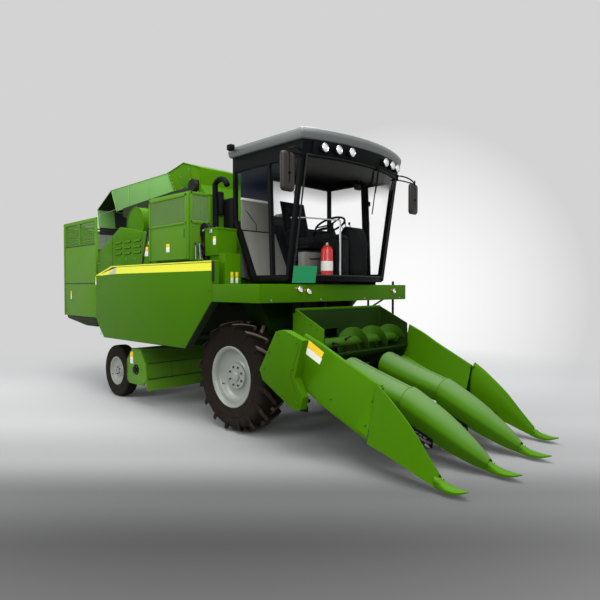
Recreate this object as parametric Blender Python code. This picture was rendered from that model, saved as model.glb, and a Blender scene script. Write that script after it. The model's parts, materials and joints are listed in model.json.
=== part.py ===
"""Three-row corn combine harvester.

Metres, +X forward, +Y to the driver's left, +Z up. Every station along X is measured from the front
axle, and AXLE_X then moves the whole machine so that its box is centred on the origin.
"""

import math

import bmesh
import bpy
from mathutils import Matrix, Vector

# Overall stations from the front axle
REAR_END = -4.56
FRONT_END = 2.95
AXLE_X = -(REAR_END + FRONT_END) / 2
HALF_WIDTH = 1.306

# Clearances
SEAT = 0.0003
RUN = 0.008

# Front wheels, 24 inch rims
FRONT_R = 0.625
FRONT_TYRE_Y = (0.76, 1.12)
FRONT_RIM_R = 0.315
FRONT_HUB = 0.03
FRONT_LUGS = 16
LUG_HEIGHT = 0.045
FRONT_FACETS = 28

# Rear wheels and steering
REAR_AXLE = -2.77
REAR_R = 0.385
REAR_TYRE_Y = (0.93, 1.12)
REAR_RIM_R = 0.195
REAR_HUB = 0.01
RIB_HEIGHT = 0.014
REAR_FACETS = 20
KINGPIN_Y = 0.83

# Chassis rails
RAIL_Y = 0.45
RAIL_W = 0.08
RAIL_Z = (0.81, 0.97)
RAIL_X = (-4.42, 0.46)
JACK_X = (-3.70, -0.80)
AXLE_TUBE = min(0.085, RAIL_Z[0] - FRONT_R - 0.03)
AXLE_SEAT = min(FRONT_R + 0.11, RAIL_Z[0] - 0.01)

# Platform under the cab
PLATFORM_X = (-0.06, 0.73)
PLATFORM_Z = (1.475, 1.667)

# Side skirts
SKIRT_FACE = 0.018
BODY_Y = HALF_WIDTH - 0.106
SCREEN_Y = (HALF_WIDTH - 0.046, 0.76)
BODY_FRONT = -0.66
BODY_TOP = 1.925
VOLUTE_R = 0.24

# Cab
CAB_Y = HALF_WIDTH - 0.446
CAB_Z = (1.70, 3.16)
CAB_REAR = -0.26
CAB_SILL_FRONT = 0.66
CAB_TOP_FRONT = 0.90
CAB_BOW = 0.17
POST = 0.045
LAMP_PLACES = (0.31, 0.49, 0.66)
LAMP_R = 0.045

# Ear elevator, its casing between the rails and the cab, its head behind the cab
ELEV_Y = (-0.72, -0.02)
ELEV_FOOT = (0.10, 1.19)
ELEV_HEAD = (-1.40, 3.13)
ELEV_T = 0.28
FLANGE = ((-1.905, 3.273), (-1.724, 2.985))
FLANGE_T = 0.02

# Ear bin, tipped to the rear about its hinge
BIN_X = (REAR_END, -3.28)
BIN_Y = HALF_WIDTH - 0.123
BIN_Z = (1.165, 2.72)
BIN_WALL = 0.03
BIN_HINGE = (-4.40, 1.08)
BIN_CYL_BASE = (-3.20, 0.74)
BIN_CYL_EYE = (-3.90, 1.045)
BIN_CYL_R = 0.04
BIN_WIRES = 8

# Stalk chopper between the axles
CHOP = (-1.99, 0.50)
CHOP_Y = BODY_Y
CHOP_R = 0.20

# Header, hinged on the frame at the foot of the elevator
HEADER_PIVOT = (0.20, 1.00)
TROUGH = (0.93, 1.03)
TROUGH_R = 0.20
TROUGH_Y = 0.765
TROUGH_TOP = (0.70, 1.40)
ROWS_Y = (-0.67, 0.0, 0.67)
HEADER_CYL = ((0.16, FRONT_R - 0.025), (0.69, 0.63))
HEADER_CYL_Y = 0.30
HEADER_CYL_R = 0.035
KNUCKLE_R = 0.012
# Stations of the hoods between the rows: x, half width, low, high
HOOD = ((1.13, 0.20, 0.60, 0.88), (1.40, 0.20, 0.54, 0.79), (1.88, 0.185, 0.44, 0.645))
HOOD_Y = 0.344
INNER_NECK = 2.66
OUTER_NECK = 2.54
OUTER_TIP = 2.80
CHAIN_LUGS = 4
SHEET = 0.010

GREEN = "3F7D12"
DARK_GREEN = "2C5C12"
BLACK = "17181A"
PALE_GREY = "AEB6B8"
RIM_GREY = "C9CFCB"
TYRE = "2A2320"
GLASS = "50606A"
STEEL = "8C9092"


def linear(hex_colour):
    """The linear RGBA of an sRGB hex colour."""
    parts = [int(hex_colour[i:i + 2], 16) / 255 for i in (0, 2, 4)]
    return [p / 12.92 if p <= 0.04045 else ((p + 0.055) / 1.055) ** 2.4 for p in parts] + [1.0]


def principled(name, colour, roughness, metallic):
    """A material with one Principled BSDF."""
    mat = bpy.data.materials.new(name)
    mat.use_nodes = True
    shader = mat.node_tree.nodes["Principled BSDF"]
    shader.inputs["Base Color"].default_value = linear(colour)
    shader.inputs["Roughness"].default_value = roughness
    shader.inputs["Metallic"].default_value = metallic
    mat.diffuse_color = linear(colour)
    return mat


def clear_scene():
    """Remove every object that the file opened with."""
    for obj in list(bpy.data.objects):
        bpy.data.objects.remove(obj, do_unlink=True)


def mesh_of(bm):
    """A mesh from a bmesh, with its normals outward."""
    bmesh.ops.recalc_face_normals(bm, faces=bm.faces)
    mesh = bpy.data.meshes.new("piece")
    bm.to_mesh(mesh)
    bm.free()
    return mesh


def prism(outline, axis, low, high):
    """Extrude an outline along an axis. The outline is (x, z) for y, (y, z) for x and (x, y) for z."""
    place = {
        "x": lambda p, t: (t, p[0], p[1]),
        "y": lambda p, t: (p[0], t, p[1]),
        "z": lambda p, t: (p[0], p[1], t),
    }
    bm = bmesh.new()
    face = bm.faces.new([bm.verts.new(place[axis](p, low)) for p in outline])
    moved = bmesh.ops.extrude_face_region(bm, geom=[face])
    shift = Vector(place[axis]((0, 0), high - low))
    bmesh.ops.translate(bm, vec=shift, verts=[v for v in moved["geom"] if isinstance(v, bmesh.types.BMVert)])
    return mesh_of(bm)


def box(x, y, z):
    """A box between pairs of limits."""
    return prism([(x[0], z[0]), (x[1], z[0]), (x[1], z[1]), (x[0], z[1])], "y", min(y), max(y))


def skin(rings, closed=False):
    """A closed body over rings of as many points each, with flat ends or joined into a loop."""
    bm = bmesh.new()
    loops = [[bm.verts.new(p) for p in ring] for ring in rings]
    count = len(rings[0])
    pairs = list(zip(loops, loops[1:] + ([loops[0]] if closed else [])))
    for a, b in pairs:
        for i in range(count):
            j = (i + 1) % count
            bm.faces.new((a[i], a[j], b[j], b[i]))
    if not closed:
        bm.faces.new(loops[0])
        bm.faces.new(list(reversed(loops[-1])))
    bmesh.ops.triangulate(bm, faces=bm.faces)
    return mesh_of(bm)


def lathe(profile, centre, axis="y", steps=32):
    """Turn (offset, radius) points about an axis through centre. A radius of 0 closes on the axis."""
    bm = bmesh.new()
    rings = []
    for offset, radius in profile:
        if radius == 0:
            rings.append([bm.verts.new((offset, 0, 0))])
        else:
            turn = [2 * math.pi * k / steps for k in range(steps)]
            rings.append([bm.verts.new((offset, radius * math.cos(t), radius * math.sin(t))) for t in turn])
    hollow = len(rings[0]) > 1 and len(rings[-1]) > 1
    for a, b in zip(rings, rings[1:] + ([rings[0]] if hollow else [])):
        for k in range(steps):
            n = (k + 1) % steps
            ring = [a[k % len(a)], a[n % len(a)], b[n % len(b)], b[k % len(b)]]
            bm.faces.new(list(dict.fromkeys(ring)))
    turned = {
        "x": Matrix(),
        "y": Matrix.Rotation(math.pi / 2, 4, "Z"),
        "z": Matrix.Rotation(-math.pi / 2, 4, "Y"),
    }
    bmesh.ops.transform(bm, matrix=Matrix.Translation(centre) @ turned[axis], verts=bm.verts)
    return mesh_of(bm)


def rod(start, end, radius, sides=16):
    """A round bar between two points."""
    a, b = Vector(start), Vector(end)
    turn = (b - a).to_track_quat("Z", "Y").to_matrix()
    rings = []
    for at in (a, b):
        angles = [2 * math.pi * (k + 0.5) / sides for k in range(sides)]
        rings.append([at + turn @ Vector((radius * math.cos(t), radius * math.sin(t), 0)) for t in angles])
    return skin(rings)


def pipe(points, radius, sides=10):
    """A tube bent through points, its rings square to the run."""
    path = [Vector(p) for p in points]
    rings = []
    up = None
    for i, at in enumerate(path):
        along = (path[min(i + 1, len(path) - 1)] - path[max(i - 1, 0)]).normalized()
        if up is None:
            up = along.orthogonal().normalized()
        up = (up - along * up.dot(along)).normalized()
        side = along.cross(up)
        turn = [2 * math.pi * k / sides for k in range(sides)]
        rings.append([at + radius * (math.cos(t) * up + math.sin(t) * side) for t in turn])
    return skin(rings)


def arc(centre, radius, start, end, steps):
    """Points along an arc, its angles in degrees."""
    angles = [math.radians(start + (end - start) * k / steps) for k in range(steps + 1)]
    return [(centre[0] + radius * math.cos(t), centre[1] + radius * math.sin(t)) for t in angles]


def inset(outline, depth):
    """An outline moved inwards by depth, corner by corner."""
    count = len(outline)
    area = sum(outline[i][0] * outline[(i + 1) % count][1] - outline[(i + 1) % count][0] * outline[i][1]
               for i in range(count))
    turn = 1 if area > 0 else -1
    moved = []
    for i in range(count):
        before, at, after = Vector(outline[i - 1]), Vector(outline[i]), Vector(outline[(i + 1) % count])
        first, second = (at - before).normalized(), (after - at).normalized()
        n1, n2 = Vector((-first.y, first.x)) * turn, Vector((-second.y, second.x)) * turn
        bisect = (n1 + n2).normalized()
        moved.append(tuple(at + bisect * depth / max(bisect.dot(n1), 0.2)))
    return moved


def strip(points, thickness):
    """The outline of a folded sheet, its centre line through points."""
    path = [Vector(p) for p in points]
    left, right = [], []
    for i, at in enumerate(path):
        first = (at - path[max(i - 1, 0)]).normalized() if i else (path[1] - at).normalized()
        second = (path[min(i + 1, len(path) - 1)] - at).normalized() if i < len(path) - 1 else first
        n1, n2 = Vector((-first.y, first.x)), Vector((-second.y, second.x))
        bisect = (n1 + n2).normalized()
        reach = thickness / 2 / max(bisect.dot(n1), 0.3)
        left.append(tuple(at + bisect * reach))
        right.append(tuple(at - bisect * reach))
    return left + right[::-1]


def mirrored(mesh):
    """A mesh reflected to the other side of the machine."""
    bm = bmesh.new()
    bm.from_mesh(mesh)
    bmesh.ops.transform(bm, matrix=Matrix.Scale(-1, 4, (0, 1, 0)), verts=bm.verts)
    return mesh_of(bm)


def moved(mesh, matrix):
    """A copy of a mesh, moved by a matrix."""
    bm = bmesh.new()
    bm.from_mesh(mesh)
    bmesh.ops.transform(bm, matrix=matrix, verts=bm.verts)
    return mesh_of(bm)


def about(point, axis, degrees):
    """The matrix of a turn about an axis through a point."""
    centre = Matrix.Translation(point)
    return centre @ Matrix.Rotation(math.radians(degrees), 4, axis) @ centre.inverted()


def boolean(base, others, operation):
    """The EXACT union or difference of a mesh with a list of meshes."""
    group = bpy.data.collections.new("operands")
    bpy.context.scene.collection.children.link(group)
    scratch = bpy.data.objects.new("scratch", base)
    bpy.context.scene.collection.objects.link(scratch)
    for mesh in others:
        group.objects.link(bpy.data.objects.new("operand", mesh))
    modifier = scratch.modifiers.new("boolean", "BOOLEAN")
    modifier.operation = operation
    modifier.operand_type = "COLLECTION"
    modifier.collection = group
    modifier.solver = "EXACT"
    found = bpy.data.meshes.new_from_object(scratch.evaluated_get(bpy.context.evaluated_depsgraph_get()))
    for obj in list(group.objects) + [scratch]:
        bpy.data.objects.remove(obj, do_unlink=True)
    bpy.data.collections.remove(group)
    return found


def solid(name, material, pieces, cuts=(), origin=(0, 0, 0)):
    """One named object: its pieces joined, its cuts taken out, its origin where it turns."""
    mesh = pieces[0]
    if len(pieces) > 1:
        mesh = boolean(mesh, pieces[1:], "UNION")
    if cuts:
        mesh = boolean(mesh, list(cuts), "DIFFERENCE")
    mesh = moved(mesh, Matrix.Translation(-Vector(origin)))
    mesh.materials.clear()
    mesh.materials.append(material)
    mesh.shade_smooth()
    mesh.set_sharp_from_angle(angle=math.radians(35))
    obj = bpy.data.objects.new(name, mesh)
    obj.location = Vector(origin) + Vector((AXLE_X, 0, 0))
    bpy.context.scene.collection.objects.link(obj)
    return obj


def pair(name, material, pieces, cuts=(), origin=(0, 0, 0)):
    """The right-hand object and its mirror on the left. Positions are given for the right, where y is below 0."""
    left = [mirrored(m) for m in pieces], [mirrored(m) for m in cuts]
    solid(f"{name}_right", material, pieces, cuts, origin)
    solid(f"{name}_left", material, left[0], left[1], (origin[0], -origin[1], origin[2]))


def chassis(mats):
    """Two rails, their cross members and the brackets that carry the axles, the body and the bin."""
    rail = (RAIL_Y - RAIL_W / 2, RAIL_Y + RAIL_W / 2)
    pieces = [box(RAIL_X, (s * rail[0], s * rail[1]), RAIL_Z) for s in (-1, 1)]
    # Cross members: station, half width along X
    members = (
        (RAIL_X[0] + 0.05, 0.05),
        (BIN_CYL_BASE[0] + 0.10, 0.04),
        (REAR_AXLE, 0.06),
        (-1.30, 0.05),
        (-0.50, 0.05),
    )
    for station, half in members:
        level = (RAIL_Z[0] + 0.02, RAIL_Z[1] - 0.02)
        pieces.append(box((station - half, station + half), (-RAIL_Y, RAIL_Y), level))
    # Outriggers that carry the side skirts and the body
    for station in (-2.95, -1.95, -0.95):
        pieces.append(box((station - 0.03, station + 0.03), (-BODY_Y, BODY_Y),
                          (RAIL_Z[1] - 0.07, RAIL_Z[1] - 0.01)))
    for s in (-1, 1):
        # Legs down to the front axle, and posts up to the platform
        leg = (s * (RAIL_Y - 0.05), s * (RAIL_Y + 0.05))
        pieces.append(box((-0.12, 0.12), leg, (AXLE_SEAT, RAIL_Z[0] + 0.02)))
        post = (s * (RAIL_Y - 0.02), s * (RAIL_Y + 0.06))
        pieces.append(box((0.39, 0.45), post, (0.90, PLATFORM_Z[1] - 0.03 - SEAT)))
        # Hinge cheeks of the bin, outside its floor lugs
        cheek = (s * (RAIL_Y - 0.03), s * (RAIL_Y + 0.03))
        pieces.append(box((BIN_HINGE[0] - 0.05, BIN_HINGE[0] + 0.05), cheek,
                          (RAIL_Z[1] - 0.02, BIN_HINGE[1] + 0.045)))
        # Rest pads of the bin's floor beams
        pieces.append(box((-3.50, -3.40), (s * 0.33, s * RAIL_Y), (RAIL_Z[1] - 0.03, BIN_Z[0] - 0.06 - SEAT)))
        # Jacking pads under the rails
        for station in JACK_X:
            pad = (station - 0.05, station + 0.05)
            pieces.append(box(pad, (s * rail[0], s * rail[1]), (RAIL_Z[0] - 0.02, RAIL_Z[1])))
        # Hanger of the rear axle pivot
        pieces.append(box((REAR_AXLE + s * 0.09, REAR_AXLE + s * 0.13), (-0.09, 0.09),
                          (0.44, RAIL_Z[1] - 0.04)))
    pieces.append(box((REAR_AXLE - 0.13, REAR_AXLE + 0.13), (-0.09, 0.09),
                      (RAIL_Z[0] + 0.03, RAIL_Z[1] - 0.03)))
    # Cheeks at the frame's nose for the header's hinge
    for s in (-1, 1):
        cheek = box((0.0, 0.26), (s * (RAIL_Y - 0.03), s * (RAIL_Y + 0.03)),
                    (0.84, ELEV_FOOT[1] - ELEV_T / 2 - SEAT))
        pieces.append(cheek)
    # Post up to the platform's left rear corner, and lugs of the bin's cylinder
    pieces.append(box((-0.04, 0.04), (RAIL_Y - 0.03, RAIL_Y + 0.03), (0.90, PLATFORM_Z[0] + 0.04 - SEAT)))
    x, z = BIN_CYL_BASE
    top = RAIL_Z[1] - 0.05
    lug = [
        (x - 0.04, z - 0.04), (x + 0.12, z - 0.04), (x + 0.12, top),
        (x + 0.02, top), (x - 0.01, z + 0.04), (x - 0.04, z + 0.02),
    ]
    pieces += [prism(lug, "y", s * 0.0303, s * 0.048) for s in (-1, 1)]
    solid("chassis_frame", mats["frame"], pieces)


def axles(mats):
    """The driven front axle with its final drives, and the pivoted rear beam with its steering knuckles."""
    z = FRONT_R
    hub = sum(FRONT_TYRE_Y) / 2 + FRONT_HUB - SEAT - 0.53
    drive = [(0.0, 0.0), (0.0, 0.20), (0.05, 0.23), (0.12, 0.23), (0.14, 0.12), (hub, 0.12), (hub, 0.0)]
    bulge = [(-0.16, 0.0), (-0.16, 0.12), (-0.08, 0.2), (0.08, 0.2), (0.16, 0.12), (0.16, 0.0)]
    pieces = [rod((0, -0.60, z), (0, 0.60, z), AXLE_TUBE, 12), lathe(bulge, (0, 0, z), "y", 16)]
    for s in (-1, 1):
        pieces.append(lathe([(s * (0.53 + y), r) for y, r in drive], (0, 0, z), "y", 18))
        pieces.append(box((-0.09, 0.09), (s * (RAIL_Y - 0.06), s * (RAIL_Y + 0.04)), (z, AXLE_SEAT - SEAT)))
        # Lugs of the header's lift cylinder
        x, low = HEADER_CYL[0]
        for side in (-1, 1):
            edge = (s * HEADER_CYL_Y + side * 0.0303, s * HEADER_CYL_Y + side * 0.045)
            pieces.append(box((0.0, x + 0.03), edge, (low - 0.035, low + 0.035)))
    solid("front_axle", mats["frame"], pieces)

    zr = REAR_R
    flat, neck = KINGPIN_Y - 0.03, KINGPIN_Y - 0.11
    # Half of the beam's outline: y, height over the wheel's centre
    half = [(0.55, 0.03), (neck, -0.07), (flat, -0.07), (flat, 0.07), (neck, 0.07), (0.50, 0.14)]
    beam = [(y, zr + rise) for y, rise in half] + [(-y, zr + rise) for y, rise in half[::-1]]
    pieces = [prism(beam, "x", REAR_AXLE - 0.05, REAR_AXLE + 0.05)]
    pivot = 0.09 - SEAT
    pieces.append(rod((REAR_AXLE - pivot, 0, zr + 0.115), (REAR_AXLE + pivot, 0, zr + 0.115), 0.06, 14))
    for s in (-1, 1):
        pieces.append(rod((REAR_AXLE, s * KINGPIN_Y, zr - 0.07), (REAR_AXLE, s * KINGPIN_Y, zr + 0.07),
                          0.045, 14))
    solid("rear_axle_beam", mats["frame"], pieces)

    # A knuckle: fork above and below the beam's eye on thrust washers, its stub and its steering arm
    top, low = zr + 0.07 + RUN, zr - 0.07 - RUN
    y = -KINGPIN_Y
    wide = (REAR_AXLE - 0.035, REAR_AXLE + 0.035)
    stub_end = -sum(REAR_TYRE_Y) / 2 - REAR_HUB + SEAT
    fork = [
        box(wide, (y - 0.10, y + 0.03), (top, top + 0.03)),
        box(wide, (y - 0.10, y + 0.03), (low - 0.03, low)),
        box(wide, (y - 0.10, y - 0.065), (low - 0.03, top + 0.03)),
        rod((REAR_AXLE, y, top - RUN + SEAT), (REAR_AXLE, y, top + 0.02), 0.03),
        rod((REAR_AXLE, y, low - 0.02), (REAR_AXLE, y, low + RUN - SEAT), 0.03),
        rod((REAR_AXLE, y - 0.07, zr), (REAR_AXLE, stub_end, zr), 0.03),
        box((REAR_AXLE + 0.03, REAR_AXLE + 0.20), (y - 0.03, y), (top, top + 0.03)),
    ]
    pair("steering_knuckle", mats["frame"], fork, origin=(REAR_AXLE, y, zr))


def carcass(profile, centre, steps):
    """A turned tyre from half its profile, bead to tread, as (half width, radius)."""
    return lathe(profile + [(-x, r) for x, r in reversed(profile)], centre, "y", steps)


def lugs(centre, half, tread, height, count, thick, sweep):
    """Slanted bars in two rows round a tread, each from its middle to past its shoulder."""
    # Stations along a bar: share of half width, outer radius, foot radius
    stations = ((-0.05, tread + height, tread - 0.03), (1.0, tread + height - 0.022, tread - 0.09))
    bars = []
    for k in range(count):
        for side in (-1, 1):
            rings = []
            for share, outer, foot in stations:
                mid = math.radians(-90 + 360 / count * (k + 0.25 * (1 + side)) + sweep * max(share, 0))
                edge = thick / 2 / tread
                outer_r = outer / math.cos(edge)
                base = edge * 1.3
                corners = ((mid - base, foot), (mid + base, foot), (mid + edge, outer_r), (mid - edge, outer_r))
                y = centre[1] + side * share * half
                rings.append([(centre[0] + r * math.cos(a), y, centre[2] + r * math.sin(a))
                              for a, r in corners])
            bars.append(skin(rings))
    return bars


def wheels(mats):
    """Four wheels, the front pair large and driven, the rear pair small and steered."""
    y0, y1 = FRONT_TYRE_Y
    mid = -(y0 + y1) / 2
    bead = 0.145
    r = FRONT_RIM_R
    # Rim profiles as (outward offset, radius): back of the disc, barrel with its flanges, dished face and hub
    back = [(FRONT_HUB, 0.0), (FRONT_HUB, r - 0.095), (0.070, r - 0.045), (-bead - 0.018, r - 0.03)]
    barrel = [(-bead - 0.018, r + 0.020), (-bead - SEAT, r + 0.020), (-bead - SEAT, r - SEAT),
              (bead + SEAT, r - SEAT),
              (bead + SEAT, r + 0.020), (bead + 0.018, r + 0.020)]
    face = [(bead + 0.018, r - 0.012), (0.09, r - 0.03), (0.045, r - 0.09), (0.05, 0.15), (0.085, 0.145),
            (0.085, 0.0)]
    front_rim = [lathe([(-o, q) for o, q in back + barrel + face], (0, mid, FRONT_R), "y", FRONT_FACETS)]
    pair("front_wheel_rim", mats["rim"], front_rim, origin=(0, mid, FRONT_R))
    half = (y1 - y0) / 2
    tread = FRONT_R - LUG_HEIGHT
    side = [(-bead, r), (-bead, r + 0.024), (-half, r + 0.13), (-half * 0.94, tread - 0.04),
            (-half * 0.72, tread - 0.005)]
    hub = (0, mid, FRONT_R)
    bars = lugs(hub, half, tread, LUG_HEIGHT, FRONT_LUGS, 0.042, 16)
    pair("front_tyre", mats["tyre"], [carcass(side, hub, FRONT_FACETS)] + bars, origin=hub)

    y0, y1 = REAR_TYRE_Y
    mid = -(y0 + y1) / 2
    bead = 0.07
    r = REAR_RIM_R
    back = [(REAR_HUB, 0.0), (REAR_HUB, r - 0.06), (-bead - 0.012, r - 0.02)]
    barrel = [(-bead - 0.012, r + 0.012), (-bead - SEAT, r + 0.012), (-bead - SEAT, r - SEAT),
              (bead + SEAT, r - SEAT),
              (bead + SEAT, r + 0.012), (bead + 0.012, r + 0.012)]
    face = [(bead + 0.012, r - 0.010), (0.045, r - 0.03), (0.025, 0.085), (0.05, 0.055), (0.05, 0.0)]
    rear_rim = [lathe([(-o, q) for o, q in back + barrel + face], (REAR_AXLE, mid, REAR_R), "y", REAR_FACETS)]
    pair("rear_wheel_rim", mats["rim"], rear_rim, origin=(REAR_AXLE, mid, REAR_R))
    half = (y1 - y0) / 2
    tread = REAR_R - RIB_HEIGHT
    # Ribbed steering tyre: bead, sidewall, then outer rib, groove and middle rib
    side = [
        (-bead, r), (-bead, r + 0.014), (-half, r + 0.08), (-half * 0.92, tread - 0.01),
        (-half * 0.52, REAR_R - 0.002),
        (-half * 0.44, tread), (-half * 0.22, tread), (-half * 0.14, REAR_R),
    ]
    hub = (REAR_AXLE, mid, REAR_R)
    pair("rear_tyre", mats["tyre"], [carcass(side, hub, REAR_FACETS)], origin=hub)


def body(mats):
    """The husker housing with its louvres, the skirts, the engine and its air screen box."""
    profile = [
        (-3.17, 1.05), (-0.95, 1.05), (BODY_FRONT, 1.40), (BODY_FRONT, BODY_TOP),
        (-1.62, BODY_TOP), (-1.62, 2.36), (-2.45, 2.50), (-3.17, 2.15),
    ]
    slots = [box((x, x + 0.20), (s * (BODY_Y - 0.012), s * (BODY_Y + 0.02)), (z, z + 0.035))
             for x in (-2.60, -2.32, -2.04) for z in (2.10, 2.18, 2.26) for s in (-1, 1)]
    volute = rod((-2.02, -BODY_Y + 0.02, 2.50), (-2.02, -0.76, 2.50), VOLUTE_R, 28)
    solid("husker_housing", mats["green"], [prism(profile, "y", -BODY_Y, BODY_Y), volute], slots)

    outline = [
        (-3.03, 1.80), (-3.03, 1.20), (-2.93, 1.057), (-2.76, 0.90),
        (-0.606, 0.909), (-0.068, 1.474), (-0.068, 1.936), (-2.55, 1.948),
    ]
    face = prism(outline, "y", -HALF_WIDTH, -BODY_Y - SEAT)
    pan = prism(inset(outline, 0.025), "y", -HALF_WIDTH + SKIRT_FACE, -BODY_Y + 0.05)
    ledge = box((-2.9, -1.0), (-HALF_WIDTH + 0.005, -BODY_Y - SEAT), (1.40, 1.46))
    skirt = boolean(face, [pan], "DIFFERENCE")
    pair("side_skirt", mats["green"], [skirt, ledge])

    block = box((-1.45, -0.70), (0.03, 0.86), (BODY_TOP + SEAT, 2.58))
    solid("engine_block", mats["black"], [block])
    side = [(-1.46, 1.955), (-0.55, 1.955), (-0.55, 2.76), (-1.46, 2.77)]
    outer, inner = SCREEN_Y
    foot = box((-1.46, BODY_FRONT - 0.02), (-BODY_Y + 0.01, -inner - 0.02), (BODY_TOP + SEAT, 1.97))
    solid("air_screen_box", mats["green"], [prism(side, "y", -outer, -inner), foot])
    door = [prism(inset(side, 0.012), "y", -HALF_WIDTH + 0.012, -outer - SEAT)]
    solid("screen_door", mats["green"], door, origin=(-1.448, -outer - 0.012, 2.3))
    bend = arc((-0.36, 2.78), 0.14, 20, 160, 7)
    x, y = -0.475, 0.356 - HALF_WIDTH
    route = [(x, y, 2.30), (x, y, 2.5)] + [(at - 0.02, y, z) for at, z in bend[::-1][1:]]
    can = [rod((x, y, 1.96), (x, y, 2.34), 0.06, 20),
           box((-0.55 + SEAT, x + 0.025), (y - 0.05, y + 0.05), (2.10, 2.16))]
    solid("air_cleaner", mats["black"], [pipe(route, 0.035)] + can)


def elevator(mats):
    """The inclined ear elevator, its head, and the hood that throws the ears into the bin."""
    foot, head = Vector(ELEV_FOOT), Vector(ELEV_HEAD)
    along = (head - foot).normalized()
    across = Vector((-along.y, along.x)) * (ELEV_T / 2)
    upper = math.degrees(math.atan2(-across.y, -across.x))
    low = arc(foot, ELEV_T / 2, upper, upper - 180, 8)
    casing = low + [tuple(head + across), tuple(head - across)]
    crown = [(-1.12, 2.90), (-1.12, 3.22), (-1.52, 3.35), (-1.90, 3.27), (-1.72, 2.98), (-1.50, 2.80)]
    y = ELEV_Y
    saddle = box((foot.x - 0.10, foot.x + 0.10), (-RAIL_Y - 0.03, -RAIL_Y + 0.03),
                 (foot.y - ELEV_T / 2, foot.y))
    flange = prism(strip(FLANGE, FLANGE_T), "y", y[0] - 0.025, y[1] + 0.025)
    hub = (-1.235, y[0], 2.99)
    pulley = lathe([(-0.055, 0.0), (-0.055, 0.075), (-0.035, 0.06), (-0.015, 0.075), (0.005, 0.03),
                    (0.005, 0.0)], hub, "y", 20)
    pieces = [prism(casing, "y", *y), prism(crown, "y", *y), saddle, pulley, flange]
    solid("ear_elevator", mats["green"], pieces)
    # The hood bears on the rear face of the flange
    top, low = Vector(FLANGE[0]), Vector(FLANGE[1])
    out = Vector((low.y - top.y, top.x - low.x)).normalized() * (FLANGE_T / 2 + SEAT)
    top, low = tuple(top + out), tuple(low + out)
    roof = [(top[0] - 0.005, top[1] - 0.004), (-3.72, 3.255), (-4.25, 2.99), (-4.20, 2.68)]
    hood = [prism(strip(roof, 0.012), "y", *y)]
    for edge in (y[0], y[1] - 0.012):
        hood.append(prism([top, (-3.72, 3.255), (-3.52, 2.89), low], "y", edge, edge + 0.012))
    solid("discharge_hood", mats["green"], hood)


def platform(mats):
    """The cab's platform: deck, perimeter beams, tool box at its rear corner, ladder on the left."""
    x, z = PLATFORM_X, PLATFORM_Z
    w = HALF_WIDTH
    pieces = [box((x[0], x[1]), (-w, w), (z[1] - 0.03, z[1])),
              box((x[1] - 0.02, x[1]), (-w, w), (z[0], z[1])),
              box((x[0], x[0] + 0.05), (0.05, w), (z[0] + 0.04, z[1])),
              box((x[0], x[1]), (-w, -w + 0.07), (z[0], z[1])), box((x[0], x[1]), (w - 0.07, w), (z[0], z[1]))]
    # Tool box and its stand behind the cab's right corner
    pieces.append(box((-0.40, -0.16), (0.146 - w, 0.426 - w), (2.00, 2.31)))
    pieces.append(box((-0.33, x[0] + 0.02), (0.166 - w, 0.386 - w), (z[0] + 0.05, 2.02)))
    # Arms back to the body, and a notch on the left for the ladder
    arm = (BODY_Y - 0.07, BODY_Y - 0.01)
    pieces += [box((BODY_FRONT + SEAT, x[0] + 0.03), (s * arm[0], s * arm[1]), (1.51, 1.59)) for s in (-1, 1)]
    solid("platform", mats["green"], pieces,
          [box((0.09, 0.61), (w - 0.096, w + 0.1), (z[0] - 0.1, z[1] + 0.1))])
    rails = [box((0.12, 0.58), (w - 0.0957, w - 0.03), (z[1] - 0.06, z[1] - 0.004))]
    # Tall handrail at the rear, and a short one in front that clears the door
    rails.append(pipe([(0.14, w - 0.05, 0.62), (0.14, w - 0.05, z[1] + 0.90),
                       (0.14, w - 0.14, z[1] + 0.95)], 0.016, 8))
    rails.append(rod((0.56, w - 0.05, 0.62), (0.56, w - 0.05, z[1] + 0.05), 0.016, 8))
    for k in range(3):
        level = 0.66 + 0.27 * k
        rails.append(box((0.13, 0.57), (w - 0.14, w - 0.02), (level, level + 0.03)))
    solid("ladder", mats["black"], rails)


def front_x(y, z):
    """The station of the cab's bowed front at a width and a height."""
    share = (z - CAB_Z[0]) / (CAB_Z[1] - CAB_Z[0])
    corner = CAB_SILL_FRONT + share * (CAB_TOP_FRONT - CAB_SILL_FRONT)
    radius = (CAB_Y ** 2 + CAB_BOW ** 2) / (2 * CAB_BOW)
    return corner + math.sqrt(radius ** 2 - y ** 2) - (radius - CAB_BOW)


def bow(z, inset_by, steps=8, half=CAB_Y):
    """The cab's front line seen from above at height z, from right to left, as (x, y)."""
    widths = [-half + 2 * half * k / steps for k in range(steps + 1)]
    return [(front_x(y, z) - inset_by, y) for y in widths]


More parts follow.
